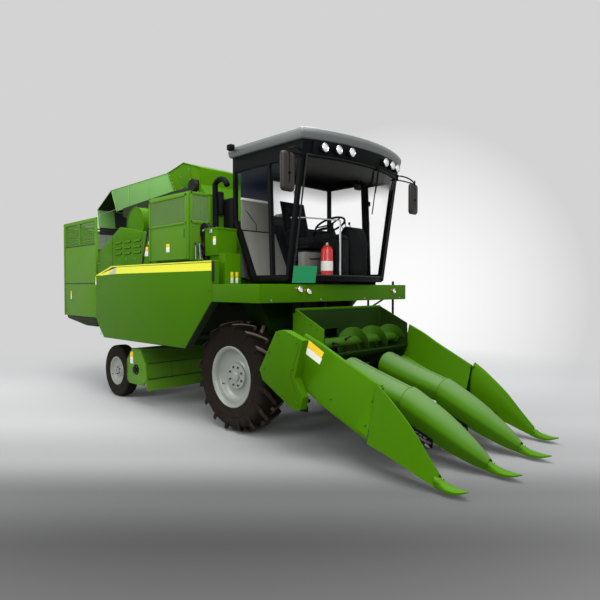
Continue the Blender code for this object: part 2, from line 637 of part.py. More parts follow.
def cab(mats):
    """The cab: frame of posts, roof, lamp fascia, glass, door, seat, controls and mirrors."""
    z0, z1 = CAB_Z
    w = CAB_Y

    def band(low, high, outer, inner):
        """A ring that follows the cab's plan between two heights."""
        rings = []
        for z in (low, high):
            share = max(0.0, (2.40 - z) / (2.40 - z0))
            rear = CAB_REAR + share * (0.07 - CAB_REAR)
            loop = [(rear + outer, -w + outer)] + bow(z, outer, 8, w - outer) + [(rear + outer, w - outer)]
            hole = [(rear + inner, -w + inner)] + bow(z, inner, 8, w - inner) + [(rear + inner, w - inner)]
            rings.append(([(x, y, z) for x, y in loop], [(x, y, z) for x, y in hole]))
        cut = [[(x, y, z + s * 0.01) for x, y, z in ring] for ring, s in ((rings[0][1], -1), (rings[1][1], 1))]
        return skin([rings[0][0], rings[1][0]]), skin(cut)

    sill, sill_hole = band(z0, z0 + 0.07, 0.0, 0.05)
    head, head_hole = band(z1 - 0.17, z1, 0.0, 0.05)
    front = bow(z0, 0.03, 8, w - 0.02)[::-1]
    floor = prism([(0.10, -w + 0.02), (0.10, w - 0.02)] + front, "z", z0, z0 + 0.02)
    posts = []
    # Posts on the right side: lower centre, upper centre, as (x, z)
    centres = (
        ((0.66, z0 + 0.02), (0.885, z1 - 0.02)),
        ((0.42, z0 + 0.02), (0.36, z1 - 0.02)),
        ((-0.235, 2.40), (-0.235, z1 - 0.02)),
        ((0.09, z0 + 0.02), (-0.235, 2.42)),
    )
    for low, high in centres:
        outline = strip([low, high], POST)
        posts += [prism(outline, "y", s * w, s * (w - POST)) for s in (-1, 1)]
    ring = boolean(sill, [sill_hole], "DIFFERENCE")
    top = boolean(head, [head_hole], "DIFFERENCE")
    back = prism(strip([(0.095, z0 + 0.03), (-0.235, 2.42)], 0.03), "y", -w + 0.02, w - 0.02)
    feet = [box((0.12, 0.62), (s * (w - 0.08), s * (w - 0.16)),
                (PLATFORM_Z[1] + SEAT, z0 + 0.03)) for s in (-1, 1)]
    solid("cab_frame", mats["black"], [ring, floor, top, back] + posts + feet)
    # Roof cap with its rounded edge: height above the frame and inset, in rings
    rings = []
    for rise, grow in ((SEAT, 0.03), (0.07, 0.045), (0.12, 0.02), (0.165, -0.10), (0.20, -0.32)):
        loop = [(CAB_REAR - grow, -w - grow)] + bow(z1, -grow, 10, w + grow) + [(CAB_REAR - grow, w + grow)]
        rings.append([(x, y, z1 + rise) for x, y in loop])
    solid("cab_roof", mats["roof"], [skin(rings)])
    # Glass
    pane = 0.006

    def side_pane(outline):
        return prism(outline, "y", -w + 0.015, -w + 0.015 + pane)

    gap = 0.0005
    low, high = z0 + 0.07 + gap, z1 - 0.17 - gap
    lean = (0.885 - 0.66) / (z1 - z0 - 0.04)

    def post_front(z):
        return 0.66 + (z - z0 - 0.02) * lean

    half_post = POST / 2 + 0.002
    front_pane = [
        (0.42 + half_post, low), (post_front(low) - half_post, low),
        (post_front(high) - half_post, high), (0.372 + half_post, high),
    ]
    solid("right_front_window", mats["glass"], [side_pane(front_pane)])
    rear_pane = [
        (0.11 + half_post, low), (0.416 - half_post, low), (0.36 - half_post, high),
        (-0.235 + half_post, high), (-0.235 + half_post, 2.45),
    ]
    solid("right_rear_window", mats["glass"], [side_pane(rear_pane)])
    solid("left_rear_window", mats["glass"], [mirrored(side_pane(rear_pane))])
    solid("rear_window", mats["glass"], [box((-0.24, -0.234), (-w + POST + gap, w - POST - gap), (2.45, high))])
    # The windscreen follows the bow between the front posts
    widths = [y for _, y in bow(low, 0.0, 10, w - POST - 0.004)]
    depths = ((low, 0.012), (high, 0.012), (high, 0.012 + pane), (low, 0.012 + pane))
    rings = [[(front_x(y, z) - depth, y, z) for z, depth in depths] for y in widths]
    solid("windscreen", mats["glass"], [skin(rings)])
    # Door on the left: frame round the front pane, hinged on the middle post
    door = [
        (0.426 + half_post, low + 0.004), (post_front(low) - half_post - 0.006, low + 0.004),
        (post_front(high) - half_post - 0.006, high - 0.004), (0.378 + half_post, high - 0.004),
    ]
    frame = prism(door, "y", w + 0.002, w - 0.024)
    hole = prism(inset(door, 0.03), "y", w + 0.05, w - 0.05)
    hinge = (0.40, w + 0.012, 2.4)
    leaf = boolean(frame, [hole], "DIFFERENCE")
    knuckles = []
    for z in (1.95, 2.70):
        knuckles.append(rod((hinge[0], hinge[1], z), (hinge[0], hinge[1], z + 0.08), 0.0117, 10))
        knuckles.append(box((hinge[0], 0.46), (w + 0.001, w + 0.015), (z + 0.01, z + 0.07)))
    solid("cab_door", mats["black"], [leaf] + knuckles, origin=hinge)
    solid("cab_door_glass", mats["glass"], [prism(inset(door, 0.03 + gap), "y", w - 0.014, w - 0.008)],
          origin=hinge)
    interior(mats)
    fascia(mats)
    mirrors(mats)


def interior(mats):
    """Seat and steering column, seen through the glass."""
    deck = CAB_Z[0] + 0.02
    back = strip([(0.02, deck + 0.44), (-0.10, deck + 1.02)], 0.10)
    seat = [
        box((-0.02, 0.40), (-0.24, 0.24), (deck + 0.40, deck + 0.52)),
        prism(back, "y", -0.22, 0.22),
        box((0.14, 0.34), (-0.14, 0.14), (deck + SEAT, deck + 0.42)),
    ]
    solid("seat", mats["fabric"], seat)
    hub = (0.52, 0, deck + 0.66)
    tilt = about(hub, "Y", -25)
    grip = lathe([(-0.012, 0.17), (0.012, 0.17), (0.012, 0.195), (-0.012, 0.195)], hub, "z", 20)
    column = [
        box((0.52, 0.72), (-0.12, 0.12), (deck + SEAT, deck + 0.50)),
        rod((0.62, 0, deck + 0.45), hub, 0.025),
        moved(grip, tilt),
    ]
    for k in range(3):
        angle = 2 * math.pi * k / 3
        spoke = rod(hub, (hub[0] + 0.18 * math.cos(angle), 0.18 * math.sin(angle), hub[2]), 0.010, 8)
        column.append(moved(spoke, tilt))
    solid("steering_column", mats["black"], column)


def trimmed(line):
    """A front line with its outermost stretches cut to half, clear of the corner posts."""
    ends = [tuple((p + q) / 2 for p, q in zip(*pair)) for pair in (line[:2], line[-2:])]
    return [ends[0], *line[1:-1], ends[1]]


def fascia(mats):
    """The dark band under the roof's brow with six work lamps."""
    z1 = CAB_Z[1]
    band = []
    for z in (z1 - 0.14, z1 - 0.004):
        outer = trimmed(bow(z, -0.022))
        inner = trimmed(bow(z, -SEAT))
        band.append([(x, y, z) for x, y in outer] + [(x, y, z) for x, y in inner[::-1]])
    pieces = [skin(band)]
    for side in (-1, 1):
        for width in LAMP_PLACES:
            y = side * width
            x = front_x(y, z1 - 0.02)
            pieces.append(rod((x + 0.012, y, z1 - 0.075), (x + 0.060, y, z1 - 0.078), LAMP_R, 12))
    solid("lamp_fascia", mats["black"], pieces)


def mirrors(mats):
    """A mirror on a bent arm at each front post."""
    y = -CAB_Y - SEAT
    arm = pipe([(0.88, y - 0.016, 3.02), (0.94, y - 0.10, 3.04), (0.96, y - 0.26, 3.00),
                (0.96, y - 0.27, 2.96)], 0.012, 8)
    plate = skin([[(0.935, y - 0.36, 2.58), (0.935, y - 0.18, 2.58), (0.935, y - 0.18, 2.97),
                   (0.935, y - 0.36, 2.97)],
                  [(0.985, y - 0.34, 2.60), (0.985, y - 0.20, 2.60), (0.985, y - 0.20, 2.95),
                   (0.985, y - 0.34, 2.95)]])
    pair("mirror", mats["black"], [arm, plate, box((0.86, 0.90), (y - 0.012, y), (2.98, 3.06))])


def bin_and_tip(mats):
    """The ear bin with mesh sides, its tailgate and the cylinder that tips it."""
    x0, x1 = BIN_X
    w, t = BIN_Y, BIN_WALL
    z0, z1 = BIN_Z
    low_front = 2.15
    floor = box((x0 + 0.035, x1), (-w, w), (z0, z0 + t))
    side = [(x0 + 0.035, z0), (x1, z0), (x1, z1), (x0 + 0.035, z1)]
    pieces = [floor, box((x1 - t, x1), (-w, w), (z0, low_front))]
    pieces += [prism(side, "y", s * w, s * (w - t)) for s in (-1, 1)]
    windows, bars = [], []
    for k in range(2):
        mid = (x0 + x1) / 2 + 0.0175
        pane = (x0 + 0.09, mid - 0.02) if k == 0 else (mid + 0.02, x1 - 0.05)
        windows.append(box(pane, (-w - 0.1, w + 0.1), (2.33, z1 - 0.05)))
    # Floor beams, and lugs on the hinge pin
    for s in (-1, 1):
        pieces.append(box((BIN_HINGE[0] - 0.04, x1 - 0.05), (s * 0.33, s * 0.39), (z0 - 0.06, z0 + 0.01)))
        pieces.append(box((BIN_HINGE[0] - 0.04, BIN_HINGE[0] + 0.04), (s * 0.36, s * 0.412),
                          (BIN_HINGE[1] - 0.04, z0 + 0.01)))
        pin = [(BIN_HINGE[0], s * y, BIN_HINGE[1]) for y in (0.38, RAIL_Y - 0.03 - SEAT)]
        pieces.append(rod(*pin, 0.02))
        pieces.append(box((x0, x0 + 0.06), (s * (w - t), s * w), (z1 - 0.055, z1)))
    pieces.append(box((-3.94, -3.86), (-0.36, 0.36), (z0 - 0.06, z0 + 0.01)))
    pieces.append(box((-3.93, -3.87), (-0.075, -0.045), (1.02, z0)))
    pieces.append(box((-3.93, -3.87), (0.045, 0.075), (1.02, z0)))
    hinge = (BIN_HINGE[0], 0, BIN_HINGE[1])
    for s in (-1, 1):
        for k in range(1, BIN_WIRES):
            level = 2.33 + (z1 - 0.05 - 2.33) * k / BIN_WIRES
            bars.append(box((x0 + 0.06, x1 - 0.02), (s * (w - 0.012), s * (w - 0.018)),
                            (level - 0.003, level + 0.003)))
    shell = boolean(boolean(pieces[0], pieces[1:], "UNION"), windows, "DIFFERENCE")
    solid("ear_bin", mats["green"], [shell] + bars, origin=hinge)
    reach = w - t - SEAT
    gate = [box((x0, x0 + 0.03), (-w, w), (z0, z1 - 0.07))]
    gate.append(rod((x0 + 0.015, -reach, z1 - 0.03), (x0 + 0.015, reach, z1 - 0.03), 0.015, 10))
    gate += [box((x0 + 0.005, x0 + 0.025), (y - 0.04, y + 0.04), (z1 - 0.09, z1 - 0.03)) for y in (-0.8, 0,
                                                                                                   0.8)]
    holes = [box((x0 - 0.1, x0 + 0.1), (s * 0.06, s * (w - 0.06)), (2.33, z1 - 0.12)) for s in (-1, 1)]
    solid("bin_tailgate", mats["green"], gate, holes, origin=(x0 + 0.015, 0, z1 - 0.03))


def cylinder(name, mats, base, eye, radius, y, split=0.62):
    """A hydraulic cylinder from its base pin to its rod's eye, as a barrel and a rod."""
    a, b = Vector((base[0], y, base[1])), Vector((eye[0], y, eye[1]))
    along = (b - a).normalized()
    length = (b - a).length
    end = a + along * length * split
    bore = rod(a + along * (radius + 0.03), end - along * 0.03, radius * 0.62, 12)
    gland = rod(end - along * 0.05, end + along * 0.05, radius * 0.55 + SEAT, 12)
    neck = a + along * (radius + 0.02)
    base_eye = lathe([(-0.03, 0.0), (-0.03, radius), (0.03, radius), (0.03, 0.0)], a, "y", 14)
    barrel = [rod(neck, end, radius, 16), rod(a, neck + along * 0.02, radius * 0.6, 12), base_eye]
    solid(f"{name}_barrel", mats["black"], barrel, [bore, gland], origin=tuple(a))
    inside = a + along * (radius + 0.05)
    eye_r = radius * 0.8
    rod_eye = lathe([(-0.028, 0.0), (-0.028, eye_r), (0.028, eye_r), (0.028, 0.0)], b, "y", 14)
    shaft = [rod(inside, b, radius * 0.55, 12), rod_eye]
    solid(f"{name}_rod", mats["steel"], shaft, origin=tuple(b))


def chopper(mats):
    """The stalk chopper: a hood across the machine with a knife rotor inside."""
    x, z = CHOP
    outline = [(-2.25, 0.34), (-2.25, 0.62), (-2.10, 0.78), (-1.86, 0.78), (-1.74, 0.62), (-1.72, 0.36),
               (-1.68, 0.24)]
    shell = strip(outline, 0.012)
    ends = [
        (-2.262, 0.34), (-2.262, 0.62), (-2.10, 0.79), (-1.86, 0.79),
        (-1.73, 0.62), (-1.71, 0.40), (-1.80, 0.29), (-2.20, 0.29),
    ]
    pieces = [prism(shell, "y", -CHOP_Y, CHOP_Y)]
    pieces += [prism(ends, "y", s * CHOP_Y, s * (CHOP_Y - 0.02)) for s in (-1, 1)]
    for s in (-1, 1):
        pieces.append(box((-2.04, -1.94), (s * (RAIL_Y - 0.03), s * (RAIL_Y + 0.03)), (0.77, RAIL_Z[0] - SEAT)))
    solid("chopper_hood", mats["green"], pieces)
    rotor = [rod((x, -CHOP_Y + 0.02 + SEAT, z), (x, CHOP_Y - 0.02 - SEAT, z), 0.06, 14)]
    count = 14
    for k in range(count):
        y = -CHOP_Y + 0.12 + (2 * CHOP_Y - 0.24) * k / (count - 1)
        angle = 90 * (k % 4)
        knife = box((x - 0.02, x + 0.02), (y - 0.012, y + 0.012), (z, z + CHOP_R))
        rotor.append(moved(knife, about((x, y, z), "Y", angle)))
    solid("chopper_rotor", mats["steel"], rotor, origin=(x, 0, z))


def arch(x, y, half, low, high, lean=0.0, steps=6):
    """A hood's section at x: upright sides and an elliptic crown, low to high."""
    rise = min(half * 0.8, (high - low) * 0.6)
    points = [(x, y - half - lean, low), (x, y - half, high - rise)]
    for k in range(1, steps):
        t = math.pi - math.pi * k / steps
        points.append((x, y + half * math.cos(t), high - rise + rise * math.sin(t)))
    points += [(x, y + half, high - rise), (x, y + half + lean, low)]
    return points


def hood_core(sections, wall):
    """What a hood is hollow by: its sections less the wall, run out at the rear and below."""
    rings = []
    for i, (x, y, half, low, high) in enumerate(sections):
        shift = 0.05 if i == 0 else 0.0
        rings.append(arch(x - shift, y, max(half - wall, 0.004), low - 0.05, max(high - wall, low + 0.004)))
    return skin(rings)


def hood_shell(sections, wall):
    """An arched shell open below, through sections of (x, y, half width, low, high)."""
    return boolean(skin([arch(*s) for s in sections]), [hood_core(sections, wall)], "DIFFERENCE")


def wedge(x, foot, ridge, low, high, steps=4):
    """An outer snout's section at x: a flat outer side up to a ridge, and a rounded inner side."""
    rise = (high - low) * 0.6
    points = [(x, foot[0], low), (x, ridge, high)]
    for k in range(1, steps + 1):
        turn = math.pi / 2 * k / steps
        points.append((x, ridge + (foot[1] - ridge) * math.sin(turn), high - rise + rise * math.cos(turn)))
    return points + [(x, foot[1], low)]


def wedge_shell(sections, wall):
    """A wedge section's shell, open below, through (x, foot pair, ridge, low, high)."""
    rings = []
    for i, (x, foot, ridge, low, high) in enumerate(sections):
        shift = 0.05 if i == 0 else 0.0
        feet = (foot[0] + wall, foot[1] - wall)
        rings.append(wedge(x - shift, feet, ridge + wall / 2, low - 0.05, high - 1.4 * wall))
    return boolean(skin([wedge(*s) for s in sections]), [skin(rings)], "DIFFERENCE")


def shoe(neck, y, tip):
    """A snout's shoe: a spoon from its neck that widens, then rises to a point."""
    # Stations: share of the length, half width, low, high
    stations = (
        (-0.08, 0.046, 0.052, 0.132), (0.12, 0.050, 0.042, 0.108), (0.40, 0.060, 0.036, 0.080),
        (0.68, 0.050, 0.040, 0.070), (0.88, 0.026, 0.054, 0.074), (1.0, 0.005, 0.066, 0.076),
    )
    return skin([arch(neck + (tip - neck) * share, y, half, low, high) for share, half, low, high in stations])


def header(mats):
    """The corn header: trough with its cross auger, hoods, snouts, row units, chain cover and lift."""
    pivot = (HEADER_PIVOT[0], 0, HEADER_PIVOT[1])
    cx, cz = TROUGH
    r = TROUGH_R
    w = TROUGH_Y
    sheet = 0.012
    line = [TROUGH_TOP, (cx - r - 0.02, cz + 0.02)] + arc((cx, cz), r, 190, 330, 8)
    floor = prism(strip(line, sheet), "y", -w, w)
    end = [(0.70, 1.40), (1.11, 1.20), (1.12, 0.92), (1.05, 0.79), (0.80, 0.79), (0.69, 0.95)]
    pieces = [floor] + [prism(end, "y", s * w, s * (w - 0.012)) for s in (-1, 1)]
    # Back frame: cross tubes and hinge arms
    pieces.append(box((0.655, 0.73), (-1.02, 1.02), (0.70, 0.82)))
    arm = [(0.17, 0.95), (0.23, 0.95), (0.70, 0.72), (0.72, 0.90), (0.66, 1.02), (0.22, 1.02), (0.17, 1.01)]
    for s in (-1, 1):
        pieces.append(prism(arm, "y", s * 0.395, s * 0.35))
        pieces.append(box((0.66, 0.72), (s * w, s * (w - 0.06)), (0.76, 1.36)))
        pieces.append(box((0.66, 1.06), (s * 1.02, s * 0.96), (0.74 + SEAT, 0.80)))
        # Bulkhead that carries the outer divider from inside
        inner = [(s * y, z) for y, z in ((1.118, 0.79), (0.975, 1.085), (0.915, 1.10), (0.84, 0.96),
                                         (0.90, 0.78))]
        pieces.append(prism(inner, "x", 1.045, 1.06))
        pin = [(pivot[0], s * y, pivot[2]) for y in (0.36, RAIL_Y - 0.03 - SEAT)]
        pieces.append(rod(*pin, 0.02))
        x, low = HEADER_CYL[1]
        for side in (-1, 1):
            edge = (s * HEADER_CYL_Y + side * 0.0283, s * HEADER_CYL_Y + side * 0.042)
            pieces.append(box((x - 0.03, x + 0.03), edge, (low - 0.03, 0.72)))
    throat = box((0.60, 0.80), (ELEV_Y[0] + 0.06, ELEV_Y[1] - 0.06), (0.90, 1.16))
    solid("header_trough", mats["green"], pieces, [throat], origin=pivot)
    auger(mats)
    row_units(mats)

    # Hoods between the rows, and snouts hinged on their front ends: section tables of x, y, half width, low, high
    y = -HOOD_Y
    sections = [(x, y, half, low, high) for x, half, low, high in HOOD]
    pair("hood_inner", mats["green"], [hood_shell(sections, SHEET)], origin=pivot)
    # Inner snout: share of the way to its neck, half width, low, high
    stations = (
        (0.0, 0.185, 0.40, 0.645),
        (0.4545, 0.168, 0.215, 0.465),
        (0.818, 0.110, 0.10, 0.270),
        (1.0, 0.050, 0.05, 0.140),
    )
    sections = [(1.89 + share * (INNER_NECK - 1.89), y, half, low, high) for share, half, low, high in stations]
    hinge = (1.88 + SEAT + KNUCKLE_R, y, 0.645 - KNUCKLE_R)
    knuckle = rod((hinge[0], y - 0.06, hinge[2]), (hinge[0], y + 0.06, hinge[2]), KNUCKLE_R, 12)
    pieces = [hood_shell(sections, SHEET), knuckle, shoe(INNER_NECK, y, FRONT_END)]
    pair("snout_inner", mats["green"], pieces, origin=hinge)
    # Outer divider: side panel and low inner hood as one shell
    outer = [(1.03, 0.94, 1.17, 1.15, 0.74), (1.45, 0.90, 0.97, 1.12, 0.51), (1.90, 0.86, 0.745, 1.09, 0.30)]
    rings = []
    # Sections: x, ridge y, ridge z, foot y, foot z
    for x, yt, zt, yb, zb in outer:
        outside = [(-yt, zt), (-yt - 0.03, zt - 0.02), (-yb, zb + 0.04), (-yb, zb)]
        inside = [(-yb + 0.012, zb), (-yb + 0.014, zb + 0.04), (-yt - 0.022, zt - 0.035),
                  (-yt + 0.01, zt - 0.020)]
        lip = [(-yt + 0.115, zb + 0.20), (-yt + 0.127, zb + 0.20)]
        rings.append([(x, y, z) for y, z in outside + inside + lip])
    pair("divider_panel", mats["green"], [skin(rings)], origin=pivot)
    # Outer snout: share of the way to its neck, outer and inner foot, ridge, low, high
    stations = (
        (0.0, (-1.092, -0.838), -0.955, 0.27, 0.765),
        (0.54, (-1.085, -0.885), -0.975, 0.185, 0.485),
        (1.0, (-1.05, -0.95), -1.0, 0.05, 0.140),
    )
    sections = [(1.91 + row[0] * (OUTER_NECK - 1.91), *row[1:]) for row in stations]
    hinge = (1.90 + SEAT + KNUCKLE_R, -0.90, 0.745 - KNUCKLE_R)
    knuckle = rod((hinge[0], -0.935, hinge[2]), (hinge[0], -0.875, hinge[2]), KNUCKLE_R, 12)
    pieces = [wedge_shell(sections, SHEET), knuckle, shoe(OUTER_NECK, -1.0, OUTER_TIP)]
    pair("snout_outer", mats["green"], pieces, origin=hinge)
    cover = [
        (0.96, 1.215), (0.90, 1.20), (0.655, 0.80), (0.70, 0.70), (1.14, 0.465),
        (1.24, 0.48), (1.27, 0.60), (1.16, 0.77), (1.27, 1.135), (1.04, 1.215),
    ]
    bracket = box((0.72, 1.00), (-1.16, -1.0203), (0.74, 0.96))
    solid("chain_cover", mats["green"], [prism(cover, "y", -1.24, -1.155), bracket], origin=pivot)


def auger(mats):
    """The cross auger: a tube with a helical flight from each end towards the elevator's mouth."""
    cx, cz = TROUGH
    half = TROUGH_Y - 0.012 - SEAT
    mouth = (ELEV_Y[0] + ELEV_Y[1]) / 2
    pieces = [rod((cx, -half, cz), (cx, half, cz), 0.055, 16)]
    pitch, steps = 0.36, 20
    for start, end in ((half - 0.01, mouth + 0.12), (-half + 0.01, mouth - 0.12)):
        turns = abs(end - start) / pitch
        count = max(4, round(turns * steps))
        hand = 1 if end < start else -1
        rings = []
        for k in range(count + 1):
            y = start + (end - start) * k / count
            t = hand * 2 * math.pi * turns * k / count
            c, s = math.cos(t), math.sin(t)
            section = ((0.045, -0.007), (0.155, -0.006), (0.155, 0.006), (0.045, 0.007))
            rings.append([(cx + r * c, y + o, cz + r * s) for r, o in section])
        pieces.append(skin(rings))
    solid("cross_auger", mats["steel"], pieces, origin=(cx, 0, cz))


def chain(y, side):
    """A gathering chain's outer run on its guide, with its lugs over the row, as one strip and its teeth."""
    low, high = Vector((1.04, 0.705)), Vector((2.20, 0.245))
    along = (high - low).normalized()
    up = Vector((-along.y, along.x))
    strand = [low - up * 0.014, high - up * 0.014, high + up * 0.014, low + up * 0.014]
    pieces = [prism([tuple(p) for p in strand], "y", y + side * 0.078, y + side * 0.092)]
    for k in range(CHAIN_LUGS):
        at = low + (high - low) * (k + 0.5) / CHAIN_LUGS
        # Corners of a tooth: along the chain, across it
        corners = ((-0.030, -0.012), (0.012, -0.012), (0.002, 0.012), (-0.022, 0.012))
        tooth = [tuple(at + along * a + up * c) for a, c in corners]
        pieces.append(prism(tooth, "y", y + side * 0.012, y + side * 0.080))
    return pieces


def row_units(mats):
    """Snapping rolls and gathering chain guides of the three rows, on one gearbox beam."""
    pieces = [box((0.86, 0.98), (-1.0, 1.0), (0.62, 0.74))]
    for y in ROWS_Y:
        pieces.append(box((0.84, 1.06), (y - 0.14, y + 0.14), (0.58, 0.75)))
        for s in (-1, 1):
            at = y + s * 0.045
            pieces.append(rod((1.02, at, 0.67), (2.20, at, 0.22), 0.036, 10))
            # Ends of a chain guide: x, outer offset, low, high
            guide = ((1.0, 0.118, 0.66, 0.76), (2.24, 0.108, 0.19, 0.27))
            rings = []
            for x, far, low, high in guide:
                corners = ((0.088, low), (far, low), (far, high), (0.088, high))
                rings.append([(x, y + s * a, z) for a, z in corners])
            pieces.append(skin(rings))
            pieces += chain(y, s)
        pieces.append(box((1.30, 1.36), (y - 0.115, y + 0.115), (0.50, 0.54)))
    # Bulkheads that carry the hoods from inside
    for s in (-1, 1):
        sections = [(x, s * HOOD_Y, half, low, high) for x, half, low, high in HOOD]
        plate = box((1.20, 1.215), (s * HOOD_Y - 0.25, s * HOOD_Y + 0.25), (0.60, 0.95))
        pieces.append(boolean(plate, [hood_core(sections, SHEET + SEAT)], "INTERSECT"))
        pieces.append(box((0.96, 1.21), (s * HOOD_Y - 0.03, s * HOOD_Y + 0.03), (0.66, 0.72)))
    solid("row_units", mats["black"], pieces, origin=(HEADER_PIVOT[0], 0, HEADER_PIVOT[1]))


def main():
    """Build the machine."""
    clear_scene()
    mats = {
        "green": principled("green paint", GREEN, 0.35, 0.0),
        "frame": principled("dark green paint", DARK_GREEN, 0.5, 0.0),
        "black": principled("black paint", BLACK, 0.5, 0.0),
        "roof": principled("pale grey plastic", PALE_GREY, 0.45, 0.0),
        "rim": principled("silver paint", RIM_GREY, 0.4, 0.3),
        "tyre": principled("tyre rubber", TYRE, 0.85, 0.0),
        "glass": principled("tinted glass", GLASS, 0.05, 0.0),
        "steel": principled("steel", STEEL, 0.35, 1.0),
        "fabric": principled("seat fabric", "33363A", 0.9, 0.0),
    }
    chassis(mats)
    axles(mats)
    wheels(mats)
    body(mats)
    elevator(mats)
    platform(mats)
    cab(mats)
    bin_and_tip(mats)
    chopper(mats)
    header(mats)
    cylinder("bin_cylinder", mats, BIN_CYL_BASE, BIN_CYL_EYE, BIN_CYL_R, 0.0)
    for side, y in (("right", -HEADER_CYL_Y), ("left", HEADER_CYL_Y)):
        cylinder(f"header_cylinder_{side}", mats, *HEADER_CYL, HEADER_CYL_R, y)


main()
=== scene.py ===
"""Looks of a three-row corn combine harvester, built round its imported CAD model.

Places are in stations: metres, with x from the front axle towards the header, y to the driver's left and z up
from the ground. AXLE_X moves a finished piece into the model's own frame.
"""

import json
import logging
import math
from collections.abc import Callable, Iterable, Sequence
from dataclasses import dataclass
from enum import Enum

import bmesh
import bpy
from mathutils import Matrix, Vector


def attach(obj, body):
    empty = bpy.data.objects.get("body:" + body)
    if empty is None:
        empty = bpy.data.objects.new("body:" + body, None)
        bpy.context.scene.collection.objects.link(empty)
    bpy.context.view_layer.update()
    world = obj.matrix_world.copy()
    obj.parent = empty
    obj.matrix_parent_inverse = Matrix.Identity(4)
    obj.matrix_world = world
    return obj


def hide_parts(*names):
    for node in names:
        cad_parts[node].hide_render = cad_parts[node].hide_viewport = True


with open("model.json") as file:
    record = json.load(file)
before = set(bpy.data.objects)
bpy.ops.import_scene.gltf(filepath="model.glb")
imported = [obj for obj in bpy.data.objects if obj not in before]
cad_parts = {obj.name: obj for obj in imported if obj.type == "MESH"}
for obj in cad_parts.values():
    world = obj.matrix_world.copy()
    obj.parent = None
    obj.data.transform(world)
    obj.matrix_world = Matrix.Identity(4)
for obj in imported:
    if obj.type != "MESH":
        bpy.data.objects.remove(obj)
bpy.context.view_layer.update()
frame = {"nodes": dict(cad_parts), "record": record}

LOG = logging.getLogger("combine")

# What the record says of each node: the body that it belongs to and its material slot
RECORD = frame["record"]
BODY_OF = {node: body for body, nodes in RECORD["behaviour"]["bodies"].items() for node in nodes}

Point = tuple[float, float, float]
Pair = tuple[float, float]

# The front axle's x in the model's frame
AXLE_X = 0.805
# Vertices nearer than this, in metres, are merged
MERGE = 1e-5
# Edges whose faces meet at more than SHARP degrees are rounded, those of round bars at more than ROUND_SHARP
SHARP = 25.0
ROUND_SHARP = 50.0
# Faces that meet at less than these degrees are shaded as one: on folded sheet, in general, and on round forms
FOLDED = 28.0
CRISP = 32.0
SOFT = 40.0
# Sheet steel of the snouts and hoods
SHEET = 0.005
# Reflection to the machine's other side
MIRRORED = Matrix.Scale(-1, 4, (0, 1, 0))


class Axis(Enum):
    """The axis that a section is drawn across or a profile is turned about."""

    X = "X"
    Y = "Y"
    Z = "Z"


class Side(Enum):
    """A side of the machine, as the sign of its y."""

    RIGHT = -1
    LEFT = 1

    @property
    def word(self) -> str:
        """The side's name as the nodes spell it."""
        return self.name.lower()


# Finishes


def linear(hex_colour: str) -> tuple[float, float, float, float]:
    """Turn an sRGB hex colour into linear RGBA.

    Args:
        hex_colour: six hex digits.

    Returns:
        Red, green, blue and an alpha of 1.
    """
    parts = [int(hex_colour[i:i + 2], 16) / 255 for i in (0, 2, 4)]
    red, green, blue = (p / 12.92 if p <= 0.04045 else ((p + 0.055) / 1.055) ** 2.4 for p in parts)
    return red, green, blue, 1.0


def add_node(
    tree: bpy.types.NodeTree, kind: str, settings: dict | None = None, links: dict | None = None,
) -> bpy.types.Node:
    """Add a node with its settings and its incoming links.

    Args:
        tree: the material's or world's node tree.
        kind: the node's type name, without its ShaderNode prefix.
        settings: attribute names, or input names after a colon, and their values.
        links: input names or numbers and the output sockets that feed them.

    Returns:
        The new node.
    """
    node = tree.nodes.new(f"ShaderNode{kind}")
    for key, value in (settings or {}).items():
        if key.startswith(":"):
            name = key[1:]
            node.inputs[int(name) if name.isdigit() else name].default_value = value
        else:
            setattr(node, key, value)
    for key, socket in (links or {}).items():
        tree.links.new(socket, node.inputs[key])
    return node


